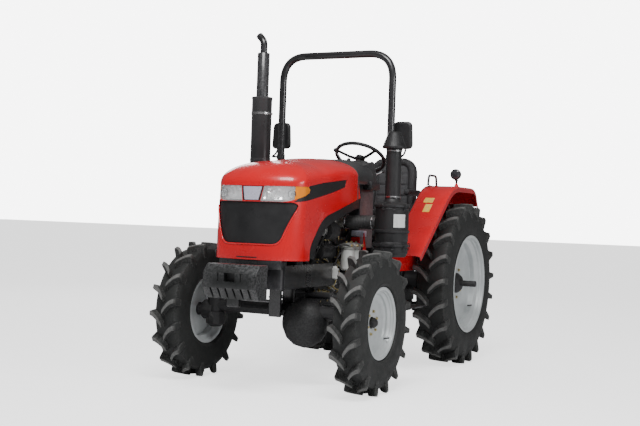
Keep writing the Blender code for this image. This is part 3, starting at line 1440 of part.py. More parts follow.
def make_dash():
    """Build the dash tower with its sloping panel and the steering column."""
    outline = [
        (-DASH_FRONT, DASH_APRON), (-DASH_STEP, DASH_APRON),
        (-DASH_STEP, DASH_BOTTOM), (-DASH_WALL_REAR, DASH_BOTTOM),
        (-DASH_WALL_REAR, DASH_SHOULDER - DASH_LIP), (-DASH_REAR, DASH_SHOULDER),
        (-DASH_REAR - DASH_LIP, DASH_TOP - DASH_LIP), (-DASH_WALL_REAR, DASH_TOP),
        (-DASH_FRONT + DASH_LIP, DASH_SHOULDER + DASH_LIP), (-DASH_FRONT, DASH_SHOULDER),
    ]
    tower = prism(outline, "X", -DASH_HALF, DASH_HALF)
    tilt = math.radians(WHEEL_TILT_DEG)
    axis = Vector((0, math.sin(tilt), math.cos(tilt)))
    hub = Vector((0, -WHEEL_SET_BACK, WHEEL_HEIGHT))
    top = hub - axis * (WHEEL_HUB_RADIUS / 2 + PIN_GAP + WHEEL_TUBE)
    foot = hub - axis * COLUMN_LENGTH
    column = tube([foot, top], COLUMN_RADIUS)
    knuckle = cylinder("X", (0, -BONNET_PIVOT, BONNET_PIVOT_HEIGHT), HINGE_RADIUS,
                       -HINGE_HALF, HINGE_HALF, ROUND_SIDES)
    bracket = box((-HINGE_HALF, -BONNET_PIVOT, BONNET_PIVOT_HEIGHT - OVERRUN),
                  (HINGE_HALF, -DASH_FRONT + 3 * DASH_LIP, BONNET_PIVOT_HEIGHT - SHEET))
    return solid("dash_tower", "black_plastic", [tower, column, bracket, knuckle])


DASH_LIP = 0.05
DASH_APRON = HEAD_TOP + SHEET
DASH_STEP = ENGINE_REAR - SHEET
DASH_BOTTOM = GEARBOX_TOP + BELL_RISE + SEAT_GAP
COLUMN_LENGTH = 0.50


def make_steering_wheel():
    """Build the three-spoke wheel on its tilted axis."""
    ring = turned([
        (WHEEL_TUBE * math.sin(2 * math.pi * i / WHEEL_TUBE_SIDES),
         WHEEL_RIM_RADIUS + WHEEL_TUBE * math.cos(2 * math.pi * i / WHEEL_TUBE_SIDES))
        for i in range(WHEEL_TUBE_SIDES)
    ], "Z", (0, 0, 0), ROUND_SIDES, closed=True)
    hub = turned([
        (-WHEEL_HUB_RADIUS / 2 - WHEEL_TUBE, WHEEL_HUB_RADIUS * 0.8),
        (0, WHEEL_HUB_RADIUS),
        (WHEEL_TUBE, WHEEL_HUB_RADIUS * 0.7),
    ], "Z", (0, 0, 0), SMALL_SIDES)
    spokes = []
    for i in range(3):
        angle = math.pi / 2 + 2 * math.pi * i / 3
        spokes.append(tube([
            (0, 0, -WHEEL_TUBE),
            (WHEEL_RIM_RADIUS * math.cos(angle), WHEEL_RIM_RADIUS * math.sin(angle), 0),
        ], WHEEL_TUBE * 0.7, 8))
    wheel = solid("steering_wheel", "black_plastic", [ring, hub, *spokes])
    tilt = Matrix.Rotation(-math.radians(WHEEL_TILT_DEG), 4, "X")
    shift = Matrix.Translation((0, -WHEEL_SET_BACK, WHEEL_HEIGHT))
    wheel.data.transform(shift @ tilt)
    return wheel


WHEEL_TUBE_SIDES = 6


def make_hoop():
    """Build the one-piece bent hoop with its feet."""
    foot = HOOP_BOTTOM + SEAT_GAP
    path = bent([
        (-HOOP_HALF, -HOOP_SET_BACK, foot),
        (-HOOP_HALF, -HOOP_SET_BACK, HOOP_TOP),
        (HOOP_HALF, -HOOP_SET_BACK, HOOP_TOP),
        (HOOP_HALF, -HOOP_SET_BACK, foot),
    ], HOOP_BEND, 5)
    forms = [tube(path, HOOP_RADIUS, 10)]
    for side in (-1, 1):
        inner = side * HOOP_HALF
        low = min(inner + side * HOOP_RADIUS, inner - side * HOOP_FOOT)
        high = max(inner + side * HOOP_RADIUS, inner - side * HOOP_FOOT)
        forms.append(box((low, -HOOP_SET_BACK - HOOP_FOOT, foot),
                         (high, -HOOP_SET_BACK + HOOP_RADIUS, foot + SHEET)))
    return solid("safety_hoop", "black_paint", forms)


def make_mirror():
    """Build the left mirror's rounded shell and the stalk to the hoop."""
    outline = rounded([
        (MIRROR_PLACE - MIRROR_HALF, MIRROR_BOTTOM),
        (MIRROR_PLACE + MIRROR_HALF, MIRROR_BOTTOM),
        (MIRROR_PLACE + MIRROR_HALF * MIRROR_TAPER_SHARE, MIRROR_TOP),
        (MIRROR_PLACE - MIRROR_HALF * MIRROR_TAPER_SHARE, MIRROR_TOP),
    ], MIRROR_HALF * MIRROR_ROUND_SHARE, 3)
    shell = prism(outline, "Y", -MIRROR_SET_BACK - MIRROR_THICK / 2,
                  -MIRROR_SET_BACK + MIRROR_THICK / 2)
    low = MIRROR_BOTTOM - MIRROR_DROP
    stalk = tube(bent([
        (HOOP_HALF + HOOP_RADIUS + SEAT_GAP, -HOOP_SET_BACK, low),
        (MIRROR_PLACE + MIRROR_THICK, -HOOP_SET_BACK, low),
        (MIRROR_PLACE + MIRROR_THICK, -MIRROR_SET_BACK, low + MIRROR_THICK),
        (MIRROR_PLACE + MIRROR_THICK, -MIRROR_SET_BACK, MIRROR_BOTTOM + OVERRUN),
    ], MIRROR_STALK, 2), MIRROR_STALK, 8)
    return solid("mirror_left", "black_plastic", [shell, stalk])


MIRROR_TAPER_SHARE = 0.86
MIRROR_ROUND_SHARE = 0.30
MIRROR_DROP = 0.07


def make_seat():
    """Build the pedestal, the cushion and the high backrest."""
    pedestal = soft_box((-SEAT_BASE_HALF, -SEAT_FRONT + SEAT_CORNER, FLOOR_HEIGHT),
                        (SEAT_BASE_HALF, -LIFT_BOX_FRONT - SEAT_GAP, SEAT_BOTTOM - SEAT_GAP),
                        SHEET, 1)
    plate = box((-SEAT_BASE_HALF, -SEAT_FRONT + SEAT_CORNER, SEAT_BOTTOM - SEAT_PLATE),
                (SEAT_BASE_HALF, -SEAT_REAR, SEAT_BOTTOM - SEAT_GAP))
    base = solid("seat_base", "black_paint", [pedestal, plate], [
        box((-SEAT_BASE_HALF - OVERRUN, -SEAT_FRONT, 0),
            (SEAT_BASE_HALF + OVERRUN, 0, GEARBOX_TOP + SEAT_GAP)),
        box((-SEAT_BASE_HALF - OVERRUN, -AXLE_HOUSING_FRONT - SEAT_GAP, 0),
            (SEAT_BASE_HALF + OVERRUN, 0, AXLE_HOUSING_TOP + SEAT_GAP))])
    cushion = to_object("seat_cushion", soft_box(
        (-SEAT_HALF, -SEAT_FRONT, SEAT_BOTTOM), (SEAT_HALF, -SEAT_REAR, SEAT_TOP),
        SEAT_CORNER, 2), "seat_vinyl")
    foot_lean = SEAT_BACK_LEAN * SEAT_CORNER / (SEAT_BACK_TOP - SEAT_BOTTOM)
    back_front = -SEAT_REAR + SEAT_GAP - foot_lean
    back = soft_box((-SEAT_HALF, back_front, SEAT_BOTTOM),
                    (SEAT_HALF, back_front + SEAT_BACK_THICK, SEAT_BACK_TOP),
                    SEAT_CORNER, 2)
    for vertex in back.verts:
        rise = (vertex.co.z - SEAT_BOTTOM) / (SEAT_BACK_TOP - SEAT_BOTTOM)
        vertex.co.y += SEAT_BACK_LEAN * rise
    rest = to_object("seat_back", back, "seat_vinyl")
    return [base, cushion, rest]


SEAT_PLATE = 0.02


def fender_path(offset):
    """Return the mudguard's side profile, drawn inward by an offset."""
    corners = [
        (-FENDER_FRONT, FENDER_FRONT_HEIGHT),
        (-FENDER_KNEE, FENDER_TOP),
        (-FENDER_HIP, FENDER_TOP),
        (-FENDER_REAR, FENDER_REAR_HEIGHT),
    ]
    path = [Vector((point.x, point.y)) for point in bent(
        [(y, z, 0) for y, z in corners], FENDER_BEND, 4)]
    if offset == 0:
        return [tuple(point) for point in path]
    moved = []
    for i, point in enumerate(path):
        before = (point - path[i - 1]).normalized() if i else None
        after = (path[i + 1] - point).normalized() if i + 1 < len(path) else None
        heading = ((before or after) + (after or before)).normalized()
        moved.append((point.x + heading.y * offset, point.y - heading.x * offset))
    return moved


def fender_foot(place):
    """Return the height of the inner wall's lower edge at a place along it."""
    if place < -FENDER_WALL_TURN:
        return FENDER_WALL_BOTTOM
    share = (place + FENDER_WALL_TURN) / (FENDER_WALL_TURN - FENDER_REAR)
    return FENDER_WALL_BOTTOM + (FENDER_WALL_REAR_BOTTOM - FENDER_WALL_BOTTOM) * share


def make_fender():
    """Build the left mudguard: bent sheet, inner wall and turned-down outer edge."""
    form = bmesh.new()
    rings = []
    for top, under, lip in zip(fender_path(0), fender_path(SHEET), fender_path(FENDER_FLANGE)):
        foot = (top[0], fender_foot(top[0]))
        section = [
            (FENDER_INNER, top), (FENDER_OUTER, top), (FENDER_OUTER, lip),
            (FENDER_OUTER - SHEET, lip), (FENDER_OUTER - SHEET, under),
            (FENDER_INNER + SHEET, under), (FENDER_INNER + SHEET, foot), (FENDER_INNER, foot),
        ]
        rings.append([form.verts.new((x, point[0], point[1])) for x, point in section])
    for first, second in zip(rings, rings[1:]):
        bridge(form, first, second, len(first))
    for ring in (rings[0], rings[-1]):
        for corners in ((0, 1, 4, 5), (1, 2, 3, 4), (0, 5, 6, 7)):
            form.faces.new([ring[i] for i in corners])
    return to_object("fender_left", form, "red_paint")


FENDER_WALL_REAR_BOTTOM = 1.10
FENDER_WALL_TURN = 0.02


def make_fender_lamp():
    """Build the round working lamp on its small bracket over the mudguard."""
    bowl = turned([
        (-FENDER_LAMP_DEEP / 2, FENDER_LAMP_RADIUS * 0.55),
        (-FENDER_LAMP_DEEP / 6, FENDER_LAMP_RADIUS * 0.92),
        (FENDER_LAMP_DEEP / 3, FENDER_LAMP_RADIUS),
        (FENDER_LAMP_DEEP / 2, FENDER_LAMP_RADIUS * 0.9),
    ], "Y", (FENDER_LAMP_PLACE, -FENDER_LAMP_SET_BACK, FENDER_LAMP_HEIGHT), 12)
    stem = box((FENDER_LAMP_PLACE - LAMP_STEM, -FENDER_LAMP_SET_BACK - SHEET,
                FENDER_TOP + SEAT_GAP),
               (FENDER_LAMP_PLACE + LAMP_STEM, -FENDER_LAMP_SET_BACK + SHEET,
                FENDER_LAMP_HEIGHT))
    foot = box((FENDER_LAMP_PLACE - LAMP_STEM, -FENDER_LAMP_SET_BACK - LAMP_STEM,
                FENDER_TOP + SEAT_GAP),
               (FENDER_LAMP_PLACE + LAMP_STEM, -FENDER_LAMP_SET_BACK + LAMP_STEM,
                FENDER_TOP + SHEET))
    return solid("fender_lamp_left", "black_plastic", [bowl, stem, foot])


LAMP_STEM = 0.018


def make_handle():
    """Build the grab rail that stands on the mudguard's inner edge."""
    base = FENDER_TOP + SEAT_GAP
    path = bent([
        (HANDLE_PLACE, -HANDLE_FRONT, base),
        (HANDLE_PLACE, -HANDLE_FRONT, base + HANDLE_HEIGHT),
        (HANDLE_PLACE, -HANDLE_REAR, base + HANDLE_HEIGHT),
        (HANDLE_PLACE, -HANDLE_REAR, base),
    ], 3 * RAIL_HANDLE_RADIUS, 3)
    return solid("grab_rail_left", "black_paint", [tube(path, RAIL_HANDLE_RADIUS)])


def make_floor_side():
    """Build the left floor plate with its edge, hoop seat and hung step."""
    low = FLOOR_HEIGHT - FLOOR_THICK
    gap = max(GEARBOX_HALF, ENGINE_HALF) + SEAT_GAP
    plate = box((gap, -FLOOR_FRONT, low), (FLOOR_HALF, -FLOOR_REAR, FLOOR_HEIGHT))
    shelf = box((gap, -HOOP_SET_BACK - HOOP_FOOT, HOOP_BOTTOM - 2 * FLOOR_THICK),
                (HOOP_HALF + HOOP_RADIUS, -FLOOR_FRONT + OVERRUN, HOOP_BOTTOM))
    step = box((FLOOR_HALF - FLOOR_THICK, -STEP_FRONT, STEP_HEIGHT),
               (STEP_OUTER, -STEP_REAR, STEP_HEIGHT + FLOOR_THICK))
    hangers = [
        box((FLOOR_HALF - FLOOR_THICK, -place - FLOOR_THICK, STEP_HEIGHT),
            (FLOOR_HALF, -place, FLOOR_HEIGHT))
        for place in (STEP_FRONT - FLOOR_THICK, STEP_REAR)
    ]
    return solid("floor_left", "black_paint", [plate, shelf, step, *hangers])


# Three-point linkage

def link_point(rear):
    """Return how far out the left lower link is at a place along it."""
    share = (rear - LINK_PIVOT_REAR) / (REAR_REACH - LINK_EYE - LINK_PIVOT_REAR)
    return LINK_PIVOT_HALF + (LINK_END_HALF - LINK_PIVOT_HALF) * share


def make_lower_link():
    """Build the left lower link, which spreads outward to its ball end."""
    tail = REAR_REACH - LINK_EYE
    form = bar_with_eyes((LINK_PIVOT_REAR, LINK_PIVOT_HEIGHT), (tail, LINK_PIVOT_HEIGHT),
                         LINK_EYE, "X", -LINK_THICK / 2, LINK_THICK / 2)
    for vertex in form.verts:
        vertex.co.x += link_point(min(max(vertex.co.y, LINK_PIVOT_REAR), tail))
    bore = cylinder("X", (0, LINK_PIVOT_REAR, LINK_PIVOT_HEIGHT),
                    running_bore(LINK_PIN_RADIUS), 0, LINK_END_HALF)
    ball_bore = cylinder("X", (0, tail, LINK_PIVOT_HEIGHT), LINK_PIN_RADIUS, 0,
                         LINK_END_HALF + LINK_EYE)
    return solid("lower_link_left", "black_paint", [form], [bore, ball_bore])


def lift_rod_place():
    """Return the inner face of the left lift rod, just outside the spreading link."""
    return link_point(LIFT_POINT_REAR) + LINK_THICK / 2 + LIFT_ROD_SLOPE + PIN_GAP


def arm_place():
    """Return the middle of the left lift arm, beside its rod."""
    return lift_rod_place() - PIN_GAP - LIFT_ARM_THICK / 2


def make_lift_arm():
    """Build the left lift arm with its stub of rocker shaft."""
    stub = cylinder("X", (0, LINK_PIVOT_REAR, ROCKER_HEIGHT), ROCKER_RADIUS,
                    LIFT_BOX_HALF + PIN_GAP, arm_place())
    arm = bar_with_eyes((LINK_PIVOT_REAR, ROCKER_HEIGHT), (LIFT_POINT_REAR, ROCKER_HEIGHT),
                        LIFT_ARM_DEEP / 2, "X", arm_place() - LIFT_ARM_THICK / 2,
                        arm_place() + LIFT_ARM_THICK / 2)
    return solid("lift_arm_left", "black_paint", [arm, stub])


def make_lift_rod():
    """Build the left lift rod, hung beside the arm and ending beside the lower link."""
    place = lift_rod_place()
    shank = tube([
        (place + LIFT_ROD_RADIUS, LIFT_POINT_REAR, LINK_PIVOT_HEIGHT),
        (place + LIFT_ROD_RADIUS, LIFT_POINT_REAR, ROCKER_HEIGHT),
    ], LIFT_ROD_RADIUS)
    eyes = [
        cylinder("X", (0, LIFT_POINT_REAR, height), LIFT_ARM_DEEP / 2, place,
                 place + 2 * LIFT_ROD_RADIUS)
        for height in (LINK_PIVOT_HEIGHT, ROCKER_HEIGHT)
    ]
    return solid("lift_rod_left", "black_paint", [shank, *eyes])


LIFT_ROD_SLOPE = 0.006


def make_top_link():
    """Build the top link turnbuckle that hangs from the rear housing."""
    start = Vector((0, TOP_LINK_PIVOT_REAR, TOP_LINK_HEIGHT))
    end = Vector((0, TOP_LINK_END_REAR, TOP_LINK_END_HEIGHT))
    run = (end - start).normalized()
    rod = tube([start, end], TOP_LINK_RADIUS * 0.7)
    sleeve = tube([start + run * 2 * LINK_EYE, end - run * 2 * LINK_EYE], TOP_LINK_RADIUS)
    half = TOP_EAR_PLACE - TOP_EAR_THICK / 2 - PIN_GAP
    eyes = [
        cylinder("X", (0, point.y, point.z), LINK_PIN_RADIUS * 2, -half, half)
        for point in (start, end)
    ]
    bore = cylinder("X", (0, start.y, start.z), running_bore(LINK_PIN_RADIUS), -LINK_EYE,
                    LINK_EYE)
    return solid("top_link", "black_paint", [rod, sleeve, *eyes], [bore])


# Assembly: each moving group hangs on an empty that sits on its joint's axis

def empty(name, place, parent=None):
    """Make an empty at a place and hang it under another."""
    holder = bpy.data.objects.new(name, None)
    holder.empty_display_size = LINK_EYE
    bpy.context.scene.collection.objects.link(holder)
    holder.location = place
    if parent:
        holder.parent = parent
        holder.location = Vector(place) - Vector(world_place[parent.name])
    world_place[name] = tuple(place)
    return holder


world_place = {}


def hang(pieces, holder):
    """Put pieces that are modelled in place under an empty."""
    offset = Matrix.Translation(Vector(world_place[holder.name])).inverted()
    for piece in pieces:
        piece.parent = holder
        piece.matrix_parent_inverse = offset
    return holder


def build():
    """Make every piece and hang it where it belongs."""
    tractor = empty("tractor", (0, 0, 0))
    rear = make_rear_wheel()
    front = make_front_wheel()
    left_knuckle, right_knuckle, tie_rod, ram, ram_rod = make_steering()
    fixed = [
        make_front_axle(), make_prop_shaft(), make_engine(), make_transmission(),
        make_radiator(), make_front_frame(), make_weights(), make_exhaust(),
        make_air_cleaner(), make_hose(), make_filter(), make_dash(), make_hoop(),
        *make_seat(),
    ]
    for maker in (make_mirror, make_fender, make_fender_lamp, make_handle, make_floor_side):
        piece = maker()
        fixed.append(piece)
        fixed.append(mirrored(piece, piece.name.replace("left", "right")))
    hang(fixed, tractor)

    bonnet_pivot = empty("bonnet_pivot", (0, -BONNET_PIVOT, BONNET_PIVOT_HEIGHT), tractor)
    hang(make_bonnet(), bonnet_pivot)

    sides = (("left", 1), ("right", -1))
    for word, side in sides:
        kingpin = empty("kingpin_" + word,
                        (side * KINGPIN_HALF, -WHEELBASE, KNUCKLE_TOP), tractor)
        hub = empty("front_wheel_" + word,
                    (side * FRONT_TRACK_HALF, -WHEELBASE, FRONT_AXLE_HEIGHT), kingpin)
        axle = empty("rear_wheel_" + word,
                     (side * REAR_TRACK_HALF, 0, REAR_AXLE_HEIGHT), tractor)
        if side > 0:
            hang([left_knuckle], kingpin)
            hang(front, hub)
            hang(rear, axle)
            rod_pivot = empty("tie_rod_pivot", (
                KINGPIN_HALF, -WHEELBASE + ARM_LENGTH, TIE_ROD_HEIGHT), kingpin)
            hang([tie_rod], rod_pivot)
        else:
            hang([right_knuckle], kingpin)
            hang([mirrored(piece, piece.name.replace("left", "right")) for piece in front], hub)
            hang([mirrored(piece, piece.name.replace("left", "right")) for piece in rear], axle)
    hang([ram], tractor)
    rod_guide = empty("steering_rod_guide", (
        KINGPIN_HALF, -WHEELBASE + CYLINDER_SET_BACK, CYLINDER_HEIGHT), tractor)
    hang([ram_rod], rod_guide)
    wheel_pivot = empty("steering_pivot", (0, -WHEEL_SET_BACK, WHEEL_HEIGHT), tractor)
    hang([make_steering_wheel()], wheel_pivot)

    link = make_lower_link()
    arm = make_lift_arm()
    rod = make_lift_rod()
    for word, side in sides:
        group = [link, arm, rod]
        if side < 0:
            group = [mirrored(piece, piece.name.replace("left", "right")) for piece in group]
        link_pivot = empty("link_pivot_" + word,
                           (side * LINK_PIVOT_HALF, LINK_PIVOT_REAR, LINK_PIVOT_HEIGHT), tractor)
        arm_pivot = empty("arm_pivot_" + word,
                          (side * arm_place(), LINK_PIVOT_REAR, ROCKER_HEIGHT), tractor)
        rod_pivot = empty("rod_pivot_" + word,
                          (side * arm_place(), LIFT_POINT_REAR, ROCKER_HEIGHT), arm_pivot)
        hang(group[:1], link_pivot)
        hang(group[1:2], arm_pivot)
        hang(group[2:], rod_pivot)
    top_pivot = empty("top_link_pivot", (0, TOP_LINK_PIVOT_REAR, TOP_LINK_HEIGHT), tractor)
    hang([make_top_link()], top_pivot)
    tractor.location = (0, (FRONT_REACH - REAR_REACH) / 2, 0)


build()
bpy.context.view_layer.update()
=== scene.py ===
import bmesh
import bpy
import json
import math
import random
from mathutils import Matrix, Vector
from mathutils.bvhtree import BVHTree

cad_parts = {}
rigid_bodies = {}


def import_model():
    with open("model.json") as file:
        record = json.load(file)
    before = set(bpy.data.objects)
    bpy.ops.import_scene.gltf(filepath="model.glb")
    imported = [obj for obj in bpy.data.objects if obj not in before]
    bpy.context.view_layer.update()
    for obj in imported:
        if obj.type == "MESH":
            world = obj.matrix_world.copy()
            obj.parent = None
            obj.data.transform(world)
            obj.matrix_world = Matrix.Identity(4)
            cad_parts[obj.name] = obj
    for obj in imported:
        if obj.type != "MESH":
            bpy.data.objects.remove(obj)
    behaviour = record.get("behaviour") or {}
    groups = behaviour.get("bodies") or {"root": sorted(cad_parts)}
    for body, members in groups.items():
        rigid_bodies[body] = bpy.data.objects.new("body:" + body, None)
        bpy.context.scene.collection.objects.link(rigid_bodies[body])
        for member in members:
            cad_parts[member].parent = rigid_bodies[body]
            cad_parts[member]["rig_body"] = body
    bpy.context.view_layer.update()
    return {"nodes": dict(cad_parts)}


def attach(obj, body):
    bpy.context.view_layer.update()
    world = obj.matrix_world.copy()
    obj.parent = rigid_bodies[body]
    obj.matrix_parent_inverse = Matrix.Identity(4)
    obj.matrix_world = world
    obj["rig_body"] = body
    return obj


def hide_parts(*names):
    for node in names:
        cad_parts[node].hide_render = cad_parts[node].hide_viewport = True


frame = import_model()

rearAxle = 0.89  # the rear axle lies this far behind the frame's origin
carry = Matrix.Translation((0, rearAxle, 0))  # pieces are drawn from the rear axle
dice = random.Random(11)
print("frame loaded")


# camera, at the photograph's angle

view = dict(place=(3.4876, -7.5228, 1.2004), yaw=0.4612, pitch=-0.0029, roll=0.0346,
            lens=58.336, sensor=36)


def makeCamera():
    yaw, pitch, roll = view["yaw"], view["pitch"], view["roll"]
    back = Vector((math.sin(yaw) * math.cos(pitch), -math.cos(yaw) * math.cos(pitch),
                   math.sin(pitch)))
    right = Vector((0, 0, 1)).cross(back).normalized()
    up = back.cross(right)
    across = math.cos(roll) * right + math.sin(roll) * up
    over = -math.sin(roll) * right + math.cos(roll) * up
    data = bpy.data.cameras.new("camera")
    data.lens = view["lens"]
    data.sensor_width = view["sensor"]
    camera = bpy.data.objects.new("camera", data)
    turn = Matrix((across, over, back)).transposed().to_4x4()
    camera.matrix_world = Matrix.Translation(view["place"]) @ turn
    bpy.context.scene.collection.objects.link(camera)
    bpy.context.scene.camera = camera


makeCamera()


# node groups shared by the materials

def newGroup(name, inputs, outputs):
    group = bpy.data.node_groups.new(name, "ShaderNodeTree")
    for label, kind, value in inputs:
        socket = group.interface.new_socket(label, in_out="INPUT", socket_type=kind)
        socket.default_value = value
    for label, kind in outputs:
        group.interface.new_socket(label, in_out="OUTPUT", socket_type=kind)
    start = group.nodes.new("NodeGroupInput")
    end = group.nodes.new("NodeGroupOutput")
    return group, start, end


def addNode(tree, kind, values=(), **settings):
    node = tree.nodes.new(kind)
    for label, value in settings.items():
        setattr(node, label, value)
    for label, value in dict(values).items():
        if isinstance(value, bpy.types.NodeSocket):
            tree.links.new(value, node.inputs[label])
        else:
            node.inputs[label].default_value = value
    return node


def ranged(tree, value, low, high, first=0.0, second=1.0):
    node = addNode(tree, "ShaderNodeMapRange", {
        "Value": value, "From Min": low, "From Max": high, "To Min": first, "To Max": second})
    return node.outputs["Result"]


def timed(tree, first, second, operation="MULTIPLY"):
    node = addNode(tree, "ShaderNodeMath", operation=operation)
    for socket, value in zip(node.inputs, (first, second)):
        if isinstance(value, bpy.types.NodeSocket):
            tree.links.new(value, socket)
        else:
            socket.default_value = value
    return node.outputs[0]


def mixed(tree, mask, first, second):
    node = tree.nodes.new("ShaderNodeMix")
    node.data_type = "RGBA"
    for socket, value in ((node.inputs[0], mask), (node.inputs[6], first),
                          (node.inputs[7], second)):
        if isinstance(value, bpy.types.NodeSocket):
            tree.links.new(value, socket)
        else:
            socket.default_value = value
    return node.outputs[2]


def makeGroups():
    colour, number = "NodeSocketColor", "NodeSocketFloat"
    # two tones in soft patches
    group, start, end = newGroup(
        "patchyTone", [("First", colour, (0.5, 0.5, 0.5, 1)),
                       ("Second", colour, (0.4, 0.4, 0.4, 1)),
                       ("Scale", number, 4.0)], [("Color", colour), ("Mask", number)])
    place = group.nodes.new("ShaderNodeTexCoord")
    cloud = addNode(group, "ShaderNodeTexNoise", {
        "Vector": place.outputs["Object"], "Scale": start.outputs["Scale"], "Detail": 7.0,
        "Roughness": 0.62})
    mask = ranged(group, cloud.outputs["Fac"], 0.36, 0.66)
    group.links.new(mask, end.inputs["Mask"])
    group.links.new(mixed(group, mask, start.outputs["First"], start.outputs["Second"]),
                    end.inputs["Color"])
    # bare or pale edges where hands, stones and tools reach
    group, start, end = newGroup(
        "rubbedEdge", [("Amount", number, 0.4), ("Scale", number, 60.0)], [("Mask", number)])
    place = group.nodes.new("ShaderNodeTexCoord")
    shape = group.nodes.new("ShaderNodeNewGeometry")
    cloud = addNode(group, "ShaderNodeTexNoise", {
        "Vector": place.outputs["Object"], "Scale": start.outputs["Scale"], "Detail": 5.0})
    edge = ranged(group, shape.outputs["Pointiness"], 0.515, 0.60)
    chips = ranged(group, cloud.outputs["Fac"], 0.40, 0.62)
    group.links.new(timed(group, timed(group, edge, chips), start.outputs["Amount"]),
                    end.inputs["Mask"])
    # fine dust that lies on what faces up
    group, start, end = newGroup(
        "settledDust", [("Amount", number, 0.3), ("Scale", number, 9.0)], [("Mask", number)])
    place = group.nodes.new("ShaderNodeTexCoord")
    shape = group.nodes.new("ShaderNodeNewGeometry")
    parts = addNode(group, "ShaderNodeSeparateXYZ", {"Vector": shape.outputs["Normal"]})
    cloud = addNode(group, "ShaderNodeTexNoise", {
        "Vector": place.outputs["Object"], "Scale": start.outputs["Scale"], "Detail": 8.0})
    up = ranged(group, parts.outputs["Z"], 0.15, 0.95)
    patches = ranged(group, cloud.outputs["Fac"], 0.35, 0.70)
    group.links.new(timed(group, timed(group, up, patches), start.outputs["Amount"]),
                    end.inputs["Mask"])
    # sand-cast, moulded or rolled grain as a height
    group, start, end = newGroup(
        "surfaceGrain", [("Scale", number, 300.0), ("Coarse", number, 0.35)], [("Height", number)])
    place = group.nodes.new("ShaderNodeTexCoord")
    fine = addNode(group, "ShaderNodeTexNoise", {
        "Vector": place.outputs["Object"], "Scale": start.outputs["Scale"], "Detail": 3.0})
    slow = addNode(group, "ShaderNodeTexNoise", {
        "Vector": place.outputs["Object"], "Scale": timed(group, start.outputs["Scale"], 0.16),
        "Detail": 4.0})
    group.links.new(timed(group, fine.outputs["Fac"],
                          timed(group, slow.outputs["Fac"], start.outputs["Coarse"]), "ADD"),
                    end.inputs["Height"])
    # pebbled hide for vinyl and moulded grips
    group, start, end = newGroup("hideGrain", [("Scale", number, 420.0)], [("Height", number)])
    place = group.nodes.new("ShaderNodeTexCoord")
    cells = addNode(group, "ShaderNodeTexVoronoi", {
        "Vector": place.outputs["Object"], "Scale": start.outputs["Scale"]},
        feature="DISTANCE_TO_EDGE")
    group.links.new(ranged(group, cells.outputs["Distance"], 0.0, 0.25), end.inputs["Height"])


makeGroups()


def useGroup(tree, name, **values):
    node = tree.nodes.new("ShaderNodeGroup")
    node.node_tree = bpy.data.node_groups[name]
    for label, value in values.items():
        node.inputs[label].default_value = value
    return node


def rgba(colour):
    return (*colour, 1.0)


